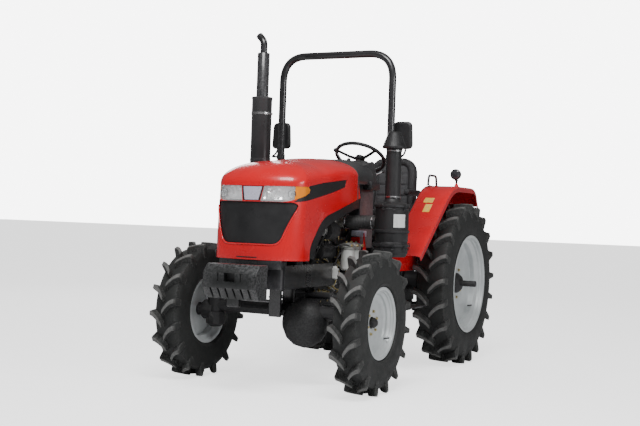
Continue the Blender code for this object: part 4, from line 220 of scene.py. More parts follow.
# finishes: tones, how rough, how metallic, coat, grain (scale, depth), rubbed edges, dust
finishes = dict(
    redPaint=dict(slot="red_paint", first=(0.640, 0.002, 0.008), second=(0.570, 0.002, 0.007),
                  patch=2.2,
                  rough=(0.20, 0.30), coat=0.35, grain=(160, 0.0004), rub=(0.10, 0.86, 0.30, 0.30),
                  dust=(0.03, 0.72, 0.50, 0.45)),
    # a darker copy of the red paint for the turned-down fender lip: painted shade on the lip's
    # side face; its stronger rub and dust are wear
    redFlangeShade=dict(slot="red_paint", first=(0.480, 0.006, 0.012), second=(0.400, 0.004, 0.010),
                   patch=3.0,
                   rough=(0.24, 0.34), coat=0.4, grain=(180, 0.0004), rub=(0.25, 0.80, 0.30, 0.30),
                   dust=(0.05, 0.6, 0.5, 0.45)),
    blackGloss=dict(slot="black_paint", first=(0.012, 0.012, 0.013), second=(0.019, 0.019, 0.021),
                    patch=5,
                    rough=(0.24, 0.38), coat=0.3, grain=(220, 0.0005),
                    rub=(0.35, 0.20, 0.20, 0.21),
                    dust=(0.12, 0.20, 0.19, 0.17)),
    castBlack=dict(slot="cast_black", first=(0.007, 0.007, 0.008), second=(0.014, 0.014, 0.015),
                   patch=7,
                   rough=(0.48, 0.70), grain=(420, 0.0016), rub=(0.45, 0.10, 0.10, 0.10),
                   dust=(0.16, 0.09, 0.085, 0.075)),
    castGrey=dict(slot="cast_black", first=(0.009, 0.010, 0.010), second=(0.015, 0.016, 0.016),
                  patch=6,
                  rough=(0.30, 0.46), grain=(360, 0.0008), rub=(0.8, 0.30, 0.30, 0.31),
                  dust=(0.06, 0.12, 0.115, 0.105)),
    mouldedBlack=dict(slot="black_plastic", first=(0.008, 0.008, 0.009),
                      second=(0.013, 0.013, 0.014), patch=6,
                      rough=(0.42, 0.58), grain=(700, 0.0008), rub=(0.30, 0.10, 0.10, 0.105),
                      dust=(0.12, 0.17, 0.16, 0.15)),
    satinBlack=dict(slot="black_plastic", first=(0.022, 0.023, 0.025),
                    second=(0.030, 0.031, 0.034), patch=5,
                    rough=(0.30, 0.42), grain=(650, 0.0006), rub=(0.25, 0.15, 0.15, 0.16),
                    dust=(0.15, 0.22, 0.21, 0.20)),
    hoseRubber=dict(slot="rubber", first=(0.014, 0.014, 0.015), second=(0.024, 0.023, 0.023),
                    patch=12,
                    rough=(0.50, 0.68), grain=(500, 0.0010), rub=(0.3, 0.12, 0.12, 0.12),
                    dust=(0.25, 0.16, 0.15, 0.14)),
    rimSilver=dict(slot="rim_silver", first=(0.560, 0.585, 0.590), second=(0.470, 0.500, 0.505),
                   patch=8,
                   rough=(0.30, 0.44), metallic=0.25, coat=0.15, grain=(380, 0.0006),
                   rub=(0.30, 0.80, 0.82, 0.82), dust=(0.18, 0.42, 0.40, 0.36)),
    zincYellow=dict(slot="steel", first=(0.52, 0.40, 0.14), second=(0.42, 0.36, 0.20), patch=90,
                    rough=(0.28, 0.45), metallic=0.9, grain=(600, 0.0006),
                    rub=(0.4, 0.8, 0.75, 0.6),
                    dust=(0.15, 0.3, 0.27, 0.2)),
    bareSteel=dict(slot="steel", first=(0.46, 0.46, 0.47), second=(0.34, 0.34, 0.35), patch=40,
                   rough=(0.24, 0.42), metallic=1.0, grain=(500, 0.0006), rub=(0.3, 0.7, 0.7, 0.7),
                   dust=(0.15, 0.3, 0.28, 0.25)),
    castAlloy=dict(slot="steel", first=(0.50, 0.50, 0.48), second=(0.38, 0.38, 0.36), patch=30,
                   rough=(0.38, 0.58), metallic=0.85, grain=(520, 0.0016),
                   rub=(0.3, 0.7, 0.7, 0.68),
                   dust=(0.2, 0.3, 0.28, 0.24)),
    paleCan=dict(slot="filter_white", first=(0.70, 0.70, 0.67), second=(0.58, 0.58, 0.56),
                 patch=20, rough=(0.30, 0.45),
                 coat=0.2, grain=(300, 0.0004), rub=(0.3, 0.5, 0.5, 0.5),
                 dust=(0.2, 0.4, 0.38, 0.33)),
    lilacPlate=dict(slot="steel", first=(0.600, 0.590, 0.700), second=(0.520, 0.515, 0.640),
                    patch=10,
                    rough=(0.22, 0.34), metallic=0.25, coat=0.3, grain=(300, 0.0004),
                    rub=(0.2, 0.8, 0.8, 0.85), dust=(0.08, 0.5, 0.5, 0.5)),
    yellowBlank=dict(slot="black_plastic", first=(0.86, 0.50, 0.030), second=(0.80, 0.44, 0.020),
                     patch=30,
                     rough=(0.34, 0.48), grain=(300, 0.0003), rub=(0.3, 0.9, 0.75, 0.5),
                     dust=(0.08, 0.6, 0.5, 0.3)),
    whiteBlank=dict(slot="filter_white", first=(0.62, 0.64, 0.63), second=(0.52, 0.54, 0.54),
                    patch=60,
                    rough=(0.30, 0.45), grain=(300, 0.0003), rub=(0.2, 0.7, 0.7, 0.7),
                    dust=(0.12, 0.4, 0.4, 0.36)),
    mauvePaint=dict(slot="black_paint", first=(0.110, 0.075, 0.080), second=(0.085, 0.058, 0.064),
                    patch=14,
                    rough=(0.36, 0.5), coat=0.1, grain=(300, 0.0006), rub=(0.3, 0.3, 0.28, 0.28),
                    dust=(0.15, 0.25, 0.23, 0.2)),
    copperLine=dict(slot="steel", first=(0.40, 0.30, 0.20), second=(0.30, 0.24, 0.17), patch=60,
                    rough=(0.28, 0.45), metallic=0.9, grain=(500, 0.0004),
                    rub=(0.2, 0.6, 0.5, 0.4),
                    dust=(0.1, 0.3, 0.27, 0.2)),
    reflector=dict(slot="steel", first=(0.90, 0.91, 0.92), second=(0.76, 0.78, 0.80), patch=55,
                   rough=(0.06, 0.14),
                   metallic=0.5, grain=(70, 0.0030), rub=(0.1, 0.9, 0.9, 0.9),
                   dust=(0.02, 0.6, 0.6, 0.6)),
    darkGlass=dict(slot="lamp_clear", first=(0.030, 0.033, 0.038), second=(0.045, 0.048, 0.054),
                   patch=20,
                   rough=(0.05, 0.10), coat=0.6, grain=(60, 0.0005), rub=(0.1, 0.4, 0.4, 0.4),
                   dust=(0.04, 0.4, 0.4, 0.4)),
    mirrorGlass=dict(slot="lamp_clear", first=(0.80, 0.81, 0.82), second=(0.74, 0.75, 0.77),
                     patch=6, rough=(0.02, 0.05),
                     metallic=1.0, grain=(20, 0.0001), rub=(0.1, 0.5, 0.5, 0.5),
                     dust=(0.05, 0.5, 0.5, 0.5)),
    seatVinyl=dict(slot="seat_vinyl", first=(0.020, 0.020, 0.022), second=(0.030, 0.030, 0.032),
                   patch=9,
                   rough=(0.42, 0.56), hide=(520, 0.0012), rub=(0.25, 0.12, 0.12, 0.12),
                   dust=(0.10, 0.16, 0.15, 0.14)),
    seatPanel=dict(slot="seat_vinyl", first=(0.046, 0.047, 0.050), second=(0.060, 0.060, 0.064),
                   patch=9,
                   rough=(0.50, 0.64), hide=(760, 0.0014), rub=(0.2, 0.14, 0.14, 0.14),
                   dust=(0.10, 0.17, 0.16, 0.15)),
)


def makeFinish(name, spec):
    material = bpy.data.materials.new(name)
    material.use_nodes = True
    tree = material.node_tree
    shader = tree.nodes["Principled BSDF"]
    tone = useGroup(tree, "patchyTone", First=rgba(spec["first"]), Second=rgba(spec["second"]),
                    Scale=spec["patch"])
    colour = tone.outputs["Color"]
    amount, *rubbed = spec["rub"]
    edge = useGroup(tree, "rubbedEdge", Amount=amount, Scale=80.0)
    colour = mixed(tree, edge.outputs["Mask"], colour, rgba(rubbed))
    amount, *dusty = spec["dust"]
    dust = useGroup(tree, "settledDust", Amount=amount, Scale=7.0)
    colour = mixed(tree, dust.outputs["Mask"], colour, rgba(dusty))
    tree.links.new(colour, shader.inputs["Base Color"])
    low, high = spec["rough"]
    rough = ranged(tree, tone.outputs["Mask"], 0, 1, low, high)
    rough = timed(tree, rough, timed(tree, dust.outputs["Mask"], 0.5), "ADD")
    tree.links.new(rough, shader.inputs["Roughness"])
    if "hide" in spec:
        scale, depth = spec["hide"]
        grain = useGroup(tree, "hideGrain", Scale=float(scale))
    else:
        scale, depth = spec["grain"]
        grain = useGroup(tree, "surfaceGrain", Scale=float(scale), Coarse=0.6)
    bump = addNode(tree, "ShaderNodeBump", {
        "Height": grain.outputs["Height"], "Strength": 0.5, "Distance": depth})
    tree.links.new(bump.outputs["Normal"], shader.inputs["Normal"])
    shader.inputs["Metallic"].default_value = spec.get("metallic", 0.0)
    shader.inputs["Coat Weight"].default_value = spec.get("coat", 0.0)
    shader.inputs["Coat Roughness"].default_value = 0.06
    return material


def makeTyreRubber(name, dark, pale):
    material = makeFinish(name, dict(
        first=dark, second=tuple(1.5 * part for part in dark), patch=9, rough=(0.60, 0.82),
        grain=(260, 0.0022), rub=(0.35, *pale), dust=(0.10, 0.16, 0.155, 0.145)))
    tree = material.node_tree
    shader = tree.nodes["Principled BSDF"]
    under = shader.inputs["Base Color"].links[0].from_socket
    # lug tops turn paler through a per-vertex mask: partly wear, partly painted sheen of overhead
    # light on the flat tops
    topWearAndSheen = addNode(tree, "ShaderNodeAttribute", attribute_name="wornAndSheenTop")
    tone = useGroup(tree, "patchyTone", First=rgba(pale),
                    Second=rgba(tuple(0.6 * part for part in pale)), Scale=38.0)
    tree.links.new(mixed(tree, topWearAndSheen.outputs["Fac"], under, tone.outputs["Color"]),
                   shader.inputs["Base Color"])
    return material


def makeClear(name, colour, alpha):
    material = bpy.data.materials.new(name)
    material.use_nodes = True
    tree = material.node_tree
    shader = tree.nodes["Principled BSDF"]
    tone = useGroup(tree, "patchyTone", First=rgba(colour),
                    Second=rgba(tuple(0.92 * part for part in colour)), Scale=25.0)
    tree.links.new(tone.outputs["Color"], shader.inputs["Base Color"])
    tree.links.new(ranged(tree, tone.outputs["Mask"], 0, 1, 0.02, 0.06),
                   shader.inputs["Roughness"])
    shader.inputs["Alpha"].default_value = alpha
    shader.inputs["IOR"].default_value = 1.45
    grain = useGroup(tree, "surfaceGrain", Scale=90.0, Coarse=0.6)
    bump = addNode(tree, "ShaderNodeBump", {
        "Height": grain.outputs["Height"], "Strength": 0.3, "Distance": 0.0005})
    tree.links.new(bump.outputs["Normal"], shader.inputs["Normal"])
    return material


look = {name: makeFinish(name, spec) for name, spec in finishes.items()}
slotOf = {name: spec["slot"] for name, spec in finishes.items()}
slotOf.update(tyreRubber="tyre", clearLens="lamp_clear", amberLens="lamp_clear")
# the pale tone feeds the rubbed edges and the lug tops, whose paleness is partly painted sheen of
# overhead light
look["tyreRubber"] = makeTyreRubber("tyreRubber", (0.010, 0.011, 0.0105), (0.150, 0.150, 0.146))
look["clearLens"] = makeClear("clearLens", (0.96, 0.97, 0.98), 0.16)
look["amberLens"] = makeClear("amberLens", (0.90, 0.26, 0.01), 0.82)
print("materials ready")


# mesh tools

def addPiece(name, form, finish, replaced=(), body="chassis", bend=32, bevel=0.0,
             steps=2):
    bmesh.ops.remove_doubles(form, verts=form.verts, dist=1e-6)
    bmesh.ops.recalc_face_normals(form, faces=form.faces)
    form.normal_update()
    if bevel:
        sharp = [edge for edge in form.edges
                 if edge.is_manifold and edge.calc_face_angle(0) > math.radians(bend)]
        bmesh.ops.bevel(form, geom=sharp, offset=bevel, segments=steps, profile=0.5,
                        affect="EDGES", clamp_overlap=True)
    mesh = bpy.data.meshes.new(name)
    form.to_mesh(mesh)
    form.free()
    mesh.transform(carry)
    piece = bpy.data.objects.new(name, mesh)
    bpy.context.scene.collection.objects.link(piece)
    mesh.materials.append(look[finish])
    soften(piece, bend)
    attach(piece, body)
    if replaced:
        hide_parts(*replaced)
    return piece


def soften(piece, bend=32):
    piece.data.shade_smooth()
    piece.data.set_sharp_from_angle(angle=math.radians(bend))


def dressNode(node, finish, bevel, steps=2):
    # a copy of a node with softened edges stands for it
    form = bmesh.new()
    form.from_mesh(frame["nodes"][node].data)
    form.transform(carry.inverted())
    bmesh.ops.remove_doubles(form, verts=form.verts, dist=1e-5)
    bmesh.ops.dissolve_limit(form, angle_limit=math.radians(1), verts=form.verts,
                             edges=form.edges)
    addPiece(node + "_dressed", form, finish, [node], frame["nodes"][node]["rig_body"],
             bevel=bevel, steps=steps)


def addBlock(form, low, high):
    corners = [form.verts.new((x, y, z)) for x in (low[0], high[0]) for y in (low[1], high[1])
               for z in (low[2], high[2])]
    for face in ((0, 1, 3, 2), (4, 6, 7, 5), (0, 4, 5, 1), (2, 3, 7, 6), (0, 2, 6, 4),
                 (1, 5, 7, 3)):
        form.faces.new([corners[i] for i in face])


def axisPoint(axis, along, first, second):
    if axis == "X":
        return Vector((along, first, second))
    if axis == "Y":
        return Vector((first, along, second))
    return Vector((first, second, along))


def addPrism(form, outline, axis, start, end):
    lower = [form.verts.new(axisPoint(axis, start, a, b)) for a, b in outline]
    upper = [form.verts.new(axisPoint(axis, end, a, b)) for a, b in outline]
    form.faces.new(lower)
    form.faces.new(upper)
    count = len(outline)
    for i in range(count):
        j = (i + 1) % count
        form.faces.new((lower[i], lower[j], upper[j], upper[i]))


def addTurned(form, profile, axis, centre, sides=48, closed=False):
    # profile is along the axis and out from it; an open one is capped at its ends
    cx, cy, cz = centre
    rings = []
    for along, radius in profile:
        ring = []
        for i in range(sides):
            angle = 2 * math.pi * i / sides
            a, b = radius * math.cos(angle), radius * math.sin(angle)
            if axis == "X":
                place = (along, cy + a, cz + b)
            elif axis == "Y":
                place = (cx + a, along, cz + b)
            else:
                place = (cx + a, cy + b, along)
            ring.append(form.verts.new(place))
        rings.append(ring)
    pairs = list(zip(rings, rings[1:]))
    if closed:
        pairs.append((rings[-1], rings[0]))
    for first, second in pairs:
        for i in range(sides):
            j = (i + 1) % sides
            form.faces.new((first[i], first[j], second[j], second[i]))
    if not closed:
        form.faces.new(rings[0])
        form.faces.new(rings[-1])
    return rings


def roundCorners(points, radius, steps=5, closed=False):
    # a path whose corners are eased by short curves
    points = [Vector(point) for point in points]
    count = len(points)
    made = []
    for i, point in enumerate(points):
        if not closed and i in (0, count - 1):
            made.append(point.copy())
            continue
        before, after = points[i - 1], points[(i + 1) % count]
        one, two = before - point, after - point
        reach = min(radius, one.length * 0.48, two.length * 0.48)
        start, end = point + one.normalized() * reach, point + two.normalized() * reach
        for k in range(steps + 1):
            t = k / steps
            made.append((1 - t) ** 2 * start + 2 * t * (1 - t) * point + t ** 2 * end)
    return made


def addTube(form, points, radius, sides=14, closed=False, flat=1.0):
    points = [Vector(point) for point in points]
    count = len(points)
    radii = radius if isinstance(radius, (list, tuple)) else [radius] * count
    heading = (points[1] - points[0]).normalized()
    side = heading.cross(Vector((0.123, 0.31, 0.94))).normalized()
    rings = []
    for i, point in enumerate(points):
        if closed:
            new = (points[(i + 1) % count] - points[i - 1]).normalized()
        elif i == 0:
            new = heading
        elif i == count - 1:
            new = (points[-1] - points[-2]).normalized()
        else:
            new = (points[i + 1] - points[i - 1]).normalized()
        side = (side - new * side.dot(new)).normalized()
        other = new.cross(side)
        ring = []
        for k in range(sides):
            angle = 2 * math.pi * k / sides
            ring.append(form.verts.new(point + radii[i] * (
                math.cos(angle) * side + flat * math.sin(angle) * other)))
        rings.append(ring)
    pairs = list(zip(rings, rings[1:]))
    if closed:
        pairs.append((rings[-1], rings[0]))
    for first, second in pairs:
        for k in range(sides):
            j = (k + 1) % sides
            form.faces.new((first[k], first[j], second[j], second[k]))
    if not closed:
        form.faces.new(rings[0])
        form.faces.new(rings[-1])


def addBand(form, axis, centre, along, radius, width, lift, sides, edge=0.001):
    # a strap or sleeve round a pipe
    addTurned(form, [(along, radius), (along + edge, radius + lift),
                     (along + width - edge, radius + lift), (along + width, radius)],
              axis, centre, sides)


def addBolt(form, place, axis, size=0.009, height=0.006, way=1):
    # a washer and a hexagon head
    along = "XYZ".index(axis)
    base = place[along]
    addTurned(form, [(base, size * 1.25), (base + way * height * 0.25, size * 1.25)],
              axis, place, 16)
    addTurned(form, [(base + way * height * 0.25, size), (base + way * height * 0.9, size),
                     (base + way * height, size * 0.86)], axis, place, 6)


def cutBy(piece, tool, operation):
    modifier = piece.modifiers.new("cut", "BOOLEAN")
    modifier.object = tool
    modifier.operation = operation
    modifier.solver = "EXACT"
    bpy.context.view_layer.update()
    graph = bpy.context.evaluated_depsgraph_get()
    made = bpy.data.meshes.new_from_object(piece.evaluated_get(graph))
    piece.modifiers.clear()
    piece.data = made
    bpy.data.objects.remove(tool)


def toolPiece(form):
    bmesh.ops.recalc_face_normals(form, faces=form.faces)
    mesh = bpy.data.meshes.new("tool")
    form.to_mesh(mesh)
    form.free()
    mesh.transform(carry)
    tool = bpy.data.objects.new("tool", mesh)
    bpy.context.scene.collection.objects.link(tool)
    return tool


def resample(points, step):
    points = [Vector(point) for point in points]
    made = []
    for first, second in zip(points, points[1:]):
        parts = max(1, round((second - first).length / step))
        made += [first.lerp(second, k / parts) for k in range(parts)]
    made.append(points[-1])
    return made


# tyres

tyres = dict(
    rear=dict(x=0.608, y=0.0, radius=0.673, width=0.277, rim=0.410, rimWidth=0.264, lug=0.055,
              top=0.036, lugs=21, slant=0.50),
    front=dict(x=0.690, y=-1.95, radius=0.490, width=0.199, rim=0.2486, rimWidth=0.160, lug=0.045,
               top=0.034, lugs=16, slant=0.46),
    draft=0.014, flange=0.018,
    # across, then depth of the top and of the foot in lug heights, with the foot's own across
    stations=((0.03, 0.03, 0.06, 1.12), (0.045, 0.045, 0.0, 1.12), (0.12, 0.12, 0.0, 1.12),
              (0.22, 0.22, 0.0, 1.12), (0.34, 0.34, 0.0, 1.12), (0.48, 0.48, 0.0, 1.12),
              (0.64, 0.64, 0.005, 1.14), (0.80, 0.79, 0.02, 1.18), (0.91, 0.87, 0.035, 1.35),
              (0.965, 0.91, 0.07, 1.55), (0.995, 0.935, 0.25, 1.75), (1.0, 0.95, 0.75, 1.95),
              (0.997, 0.955, 1.30, 2.15), (0.975, 0.955, 1.85, 2.35)))


def makeTyre(size, side, name, body, node):
    form = bmesh.new()
    # a per-vertex mask that pales the lug tops: partly wear, partly painted sheen of overhead
    # light
    topWearAndSheen = form.verts.layers.float.new("wornAndSheenTop")
    half, radius, lug = size["width"] / 2, size["radius"], size["lug"]
    height = math.sqrt(radius ** 2 - (size["top"] / 2) ** 2)
    centre = Vector((side * size["x"], size["y"], height))
    tread = radius - lug
    deep = tread - size["rim"]
    inner = size["rimWidth"] / 2 - 0.008
    wall = [(inner, size["rim"] - tyres["flange"] + 0.001), (inner, size["rim"] + 0.002),
            (0.93 * half, size["rim"] + 0.010), (0.965 * half, size["rim"] + 0.022),
            (0.952 * half, size["rim"] + 0.025), (0.985 * half, size["rim"] + 0.20 * deep),
            (1.0 * half, size["rim"] + 0.38 * deep), (0.99 * half, size["rim"] + 0.55 * deep),
            (0.955 * half, size["rim"] + 0.72 * deep), (0.89 * half, size["rim"] + 0.87 * deep),
            (0.78 * half, tread - 0.006), (0.55 * half, tread - 0.002), (0.25 * half, tread)]
    profile = [(-x, r) for x, r in wall] + [(x, r) for x, r in reversed(wall)]
    profile = [(centre.x + x, r) for x, r in profile]
    addTurned(form, profile, "X", centre, size["lugs"] * 6, closed=True)
    pitch = 2 * math.pi / size["lugs"]
    for way in (1, -1):
        for k in range(size["lugs"]):
            addLug(form, topWearAndSheen, size, centre, way, k * pitch + (pitch / 2 if way < 0 else 0), side)
    addPiece(name, form, "tyreRubber", [node], body=body, bend=38)


def addLug(form, topWearAndSheen, size, centre, way, begin, side):
    half, radius, lug = size["width"] / 2, size["radius"], size["lug"]
    slant = size["slant"] * 2 * math.pi / size["lugs"]
    rows = []
    for across, foot, top, base in tyres["stations"]:
        middle = begin - slant * (1 - (1 - min(across, 1)) ** 1.9)
        topWide = size["top"] / 2 * (1.0 if across > 0.2 else 0.86 + 0.7 * across)
        baseWide = topWide * 1.35 + tyres["draft"] / 2
        rTop, rBase = radius - top * lug, radius - base * lug
        xTop, xBase = way * across * half, way * foot * half
        row = []
        for wide, t, pale in ((-baseWide, 0.0, 0), (-topWide * 1.06, 0.86, 0),
                              (-topWide * 0.86, 1.0, 1),
                              (0.0, 1.0, 1), (topWide * 0.86, 1.0, 1), (topWide * 1.06, 0.86, 0),
                              (baseWide, 0.0, 0)):
            x = xBase + (xTop - xBase) * t
            out = rBase + (rTop - rBase) * t
            angle = -math.pi / 2 + middle + wide / radius
            vertex = form.verts.new(centre + Vector((x, out * math.cos(angle),
                                                     out * math.sin(angle))))
            # flat lug tops get the most paleness and the shoulders less: partly wear, partly
            # painted sheen of overhead light
            vertex[topWearAndSheen] = pale * (0.85 if top < 0.06 else 0.45 if top < 0.3 else 0.12)
            row.append(vertex)
        rows.append(row)
    for first, second in zip(rows, rows[1:]):
        for i in range(6):
            form.faces.new((first[i], first[i + 1], second[i + 1], second[i]))
        form.faces.new((first[6], first[0], second[0], second[6]))
    form.faces.new(rows[0])
    form.faces.new(rows[-1])


for sideName, sideWay in (("left", 1), ("right", -1)):
    for axle in ("front", "rear"):
        makeTyre(tyres[axle], sideWay, f"{axle}_tyre_{sideName}_lugged",
                 f"{axle}_wheel_{sideName}", f"{axle}_tyre_{sideName}")
print("tyres ready")


# rims and hubs

rims = dict(
    rear=dict(well=0.042, disc=0.012, bore=0.055, step=0.80, ring=0.125, bolts=8, bolt=0.011),
    front=dict(well=0.026, disc=0.016, bore=0.041, step=0.80, ring=0.078, bolts=6, bolt=0.009),
    wall=0.006, sides=96)


def makeRim(axle, side, name, body, node):
    size, own = tyres[axle], rims[axle]
    height = math.sqrt(size["radius"] ** 2 - (size["top"] / 2) ** 2)
    centre = Vector((side * size["x"], size["y"], height))
    half, wall = size["rimWidth"] / 2, rims["wall"]
    seat = size["rim"] - tyres["flange"]
    well = seat - own["well"]
    ledge, floor = half * 0.62, half * 0.46
    innerSeat, innerWell = seat - wall, well - wall
    disc = own["disc"]
    outline = [(-half, size["rim"]), (-half + wall, seat), (-ledge, seat), (-floor, well),
               (floor, well), (ledge, seat), (half - wall, seat),
               (half - 0.004, size["rim"] - 0.003),
               (half, size["rim"]), (half + 0.002, size["rim"] - 0.004), (half - 0.001, innerSeat),
               (half * 0.80, innerSeat - 0.001), (half * 0.76, innerSeat - 0.007),
               (ledge, innerSeat - 0.009), (floor, innerWell),
               (disc + wall, innerWell), (wall + 0.004, innerWell * 0.93),
               (wall, innerWell * own["step"]), (wall, own["bore"]), (0, own["bore"]),
               (0, innerWell * own["step"]), (0.004, innerWell * 0.93),
               (disc, innerWell), (-floor, innerWell), (-ledge, innerSeat), (-half, innerSeat)]
    eased = roundCorners([(x, r, 0) for x, r in outline], 0.004, 3, closed=True)
    profile = [(centre.x + side * point.x, point.y) for point in eased]
    form = bmesh.new()
    addTurned(form, profile, "X", centre, rims["sides"], closed=True)
    addPiece(name, form, "rimSilver", [node], body=body, bend=40)
    bolts = bmesh.new()
    face = centre.x + side * wall
    for k in range(own["bolts"]):
        angle = 2 * math.pi * (k + 0.3) / own["bolts"]
        place = (face, centre.y + own["ring"] * math.cos(angle),
                 centre.z + own["ring"] * math.sin(angle))
        addBolt(bolts, place, "X", own["bolt"], 0.014, side)
    addPiece(name + "_bolts", bolts, "zincYellow", body=body, bend=30)
    valve = bmesh.new()
    angle = math.radians(-38)
    out = innerWell - 0.010
    stem = Vector((centre.x + side * (disc + 0.02), centre.y + out * math.cos(angle),
                   centre.z + out * math.sin(angle)))
    addTube(valve, [stem, stem + Vector((side * 0.030, -0.004, 0.004))],
            [0.006, 0.0045], 12)
    addTube(valve, [stem + Vector((side * 0.030, -0.004, 0.004)),
                    stem + Vector((side * 0.040, -0.005, 0.005))], 0.006, 12)
    addPiece(name + "_valve", valve, "hoseRubber", body=body)


for sideName, sideWay in (("left", 1), ("right", -1)):
    for axle in ("front", "rear"):
        makeRim(axle, sideWay, f"{axle}_rim_{sideName}_turned", f"{axle}_wheel_{sideName}",
                f"{axle}_rim_{sideName}")
        dressNode(f"{axle}_hub_{sideName}", "castBlack", 0.004)
print("rims ready")


# bonnet

bonnet = dict(rear=1.45, front=2.40, half=0.338, rearHalf=0.330, bottom=0.896, corner=0.13,
              bulge=0.055, lean=0.045, shell=0.008, crownPower=2.1, spine=2.00)


def shoulderHeight(y):
    share = min(max((-y - bonnet["rear"]) / (bonnet["front"] - bonnet["rear"]), 0), 1)
    return 1.500 - 0.103 * share ** 1.5


def crownHeight(y):
    share = min(max((-y - bonnet["rear"]) / (bonnet["front"] - bonnet["rear"]), 0), 1)
    return 1.625 - 0.155 * share ** 2.2


def halfWidth(y):
    share = min(max((-y - bonnet["rear"]) / (bonnet["front"] - bonnet["rear"]), 0), 1)
    return bonnet["rearHalf"] + (bonnet["half"] - bonnet["rearHalf"]) * math.sin(math.pi * share)


def planPoint(t):
    # t runs 0 to 1 along the left side to the nose's middle: a straight, a corner, the face
    rear, corner = -bonnet["rear"], bonnet["corner"]
    straight = -(bonnet["front"] - corner)
    if t < 0.5:
        y = rear + (straight - rear) * t / 0.5
        return halfWidth(y), y, 0.0
    if t < 0.72:
        angle = math.pi / 2 * (t - 0.5) / 0.22
        half = halfWidth(straight)
        shrink = 1 - corner / bonnet["half"] * (1 - math.cos(angle)) * 0.70
        return half * shrink, straight - corner * math.sin(angle), math.sin(angle)
    half = halfWidth(straight) * (1 - corner / bonnet["half"] * 0.70)
    return half * (1 - (t - 0.72) / 0.28), -bonnet["front"], 1.0


def noseReach(x, z):
    up = (z - bonnet["bottom"]) / (1.470 - bonnet["bottom"])
    across = min(abs(x) / 0.27, 1.25)
    return -(bonnet["front"] + bonnet["bulge"] * (1 - across ** 2) - bonnet["lean"] * up ** 2)


def bonnetPoint(t, level, inset):
    # level 0 to 1 climbs the wall, 1 to 2 goes over the dome to the spine
    x, y, forward = planPoint(t)
    edge = shoulderHeight(y)
    rise = min(level, 1.0)
    z = bonnet["bottom"] + (edge - bonnet["bottom"]) * rise
    if t < 0.5 and z < 1.5:
        y += 0.36 * (1.5 - z) * (1 - t / 0.5) ** 3  # the rear edge slopes back going down
    if forward:
        y = y + (noseReach(x, z) + bonnet["front"]) * forward
    side = x - inset * (1 - forward * 0.6)
    y = y + inset * forward
    if level <= 1:
        return Vector((side, y, z))
    angle = (level - 1) * math.pi / 2
    power = 2 / bonnet["crownPower"]
    near = max(math.cos(angle), 0.0) ** power
    lift = math.sin(angle) ** power
    spine = max(y, -bonnet["spine"]) if y < -bonnet["spine"] else y
    top = crownHeight(spine)
    return Vector((side * near, spine + (y - spine) * near,
                   edge + (top - edge) * lift - inset * lift))


def bonnetGrid(form, inset, columns, levels):
    rows = []
    for level in levels:
        left = [bonnetPoint(t, level, inset) for t in columns]
        right = [Vector((-point.x, point.y, point.z)) for point in reversed(left[:-1])]
        rows.append([form.verts.new(point) for point in left + right])
    for first, second in zip(rows, rows[1:]):
        for i in range(len(first) - 1):
            form.faces.new((first[i], first[i + 1], second[i + 1], second[i]))
    return rows


def bonnetShell(outer, thick):
    columns = [i / 60 * 0.5 for i in range(0, 60, 2)]
    columns += [0.5 + 0.22 * i / 14 for i in range(14)]
    columns += [0.72 + 0.28 * i / 14 for i in range(15)]
    levels = [i / 26 for i in range(27)] + [1 + (i / 22) ** 1.15 for i in range(1, 23)]
    form = bmesh.new()
    outside = bonnetGrid(form, outer, columns, levels)
    inside = bonnetGrid(form, outer + thick, columns, levels)
    first, second = outside[0], inside[0]
    for i in range(len(first) - 1):
        form.faces.new((first[i], first[i + 1], second[i + 1], second[i]))
    for end in (0, -1):
        for k in range(len(outside) - 1):
            form.faces.new((outside[k][end], outside[k + 1][end], inside[k + 1][end],
                            inside[k][end]))
    bmesh.ops.remove_doubles(form, verts=form.verts, dist=2e-5)
    return form


openings = dict(
    arch=((-2.205, 0.87), (-2.205, 0.985), (-2.025, 1.188), (-1.30, 1.366), (-1.30, 0.87)),
    grille=((-0.322, 1.283), (0.322, 1.283), (0.214, 0.998), (-0.214, 0.998)),
    plate=((-0.075, 1.387), (0.075, 1.387), (0.056, 1.290), (-0.056, 1.290)),
    lampSide=((-2.62, 1.284), (-2.395, 1.284), (-2.232, 1.352), (-2.222, 1.372), (-2.245, 1.392),
              (-2.62, 1.387)),
    strip=((-2.235, 1.398), (-2.04, 1.428), (-1.648, 1.468), (-1.672, 1.412), (-1.912, 1.360),
           (-2.240, 1.300), (-2.365, 1.284)))


def archTool():
    form = bmesh.new()
    front = roundCorners([(y, z, 0) for y, z in openings["arch"][:4]], 0.10, 8)
    outline = [(point.x, point.y) for point in front] + [openings["arch"][4]]
    addPrism(form, outline, "X", -0.7, 0.7)
    return toolPiece(form)


def grilleTool(margin):
    form = bmesh.new()
    grow = [(math.copysign(abs(x) + margin, x), z + (margin if z > 1.1 else -margin))
            for x, z in openings["grille"]]
    eased = roundCorners([(x, z, 0) for x, z in grow], 0.055, 8, closed=True)
    addPrism(form, [(point.x, point.y) for point in eased], "Y", -2.7, -2.19)
    return toolPiece(form)


def lampTool(side, margin, start=None, reach=0.5):
    form = bmesh.new()
    middle = Vector((-2.42, 1.338))
    near, far = [], []
    for y, z in openings["lampSide"]:
        away = Vector((y, z)) - middle
        y, z = middle + away - away.normalized() * margin
        inner = 0.068 + (z - 1.288) / 0.10 * 0.017 + margin if start is None else start
        near.append(form.verts.new((side * inner, y, z)))
        far.append(form.verts.new((side * reach, y, z)))
    form.faces.new(near)
    form.faces.new(far)
    for i in range(len(near)):
        j = (i + 1) % len(near)
        form.faces.new((near[i], near[j], far[j], far[i]))
    return toolPiece(form)


def plateTool(margin, tall=None):
    form = bmesh.new()
    tall = margin if tall is None else tall
    outline = [(math.copysign(abs(x) - margin, x), z + (-tall if z > 1.34 else tall))
               for x, z in openings["plate"]]
    addPrism(form, outline, "Y", -2.7, -2.2)
    return toolPiece(form)


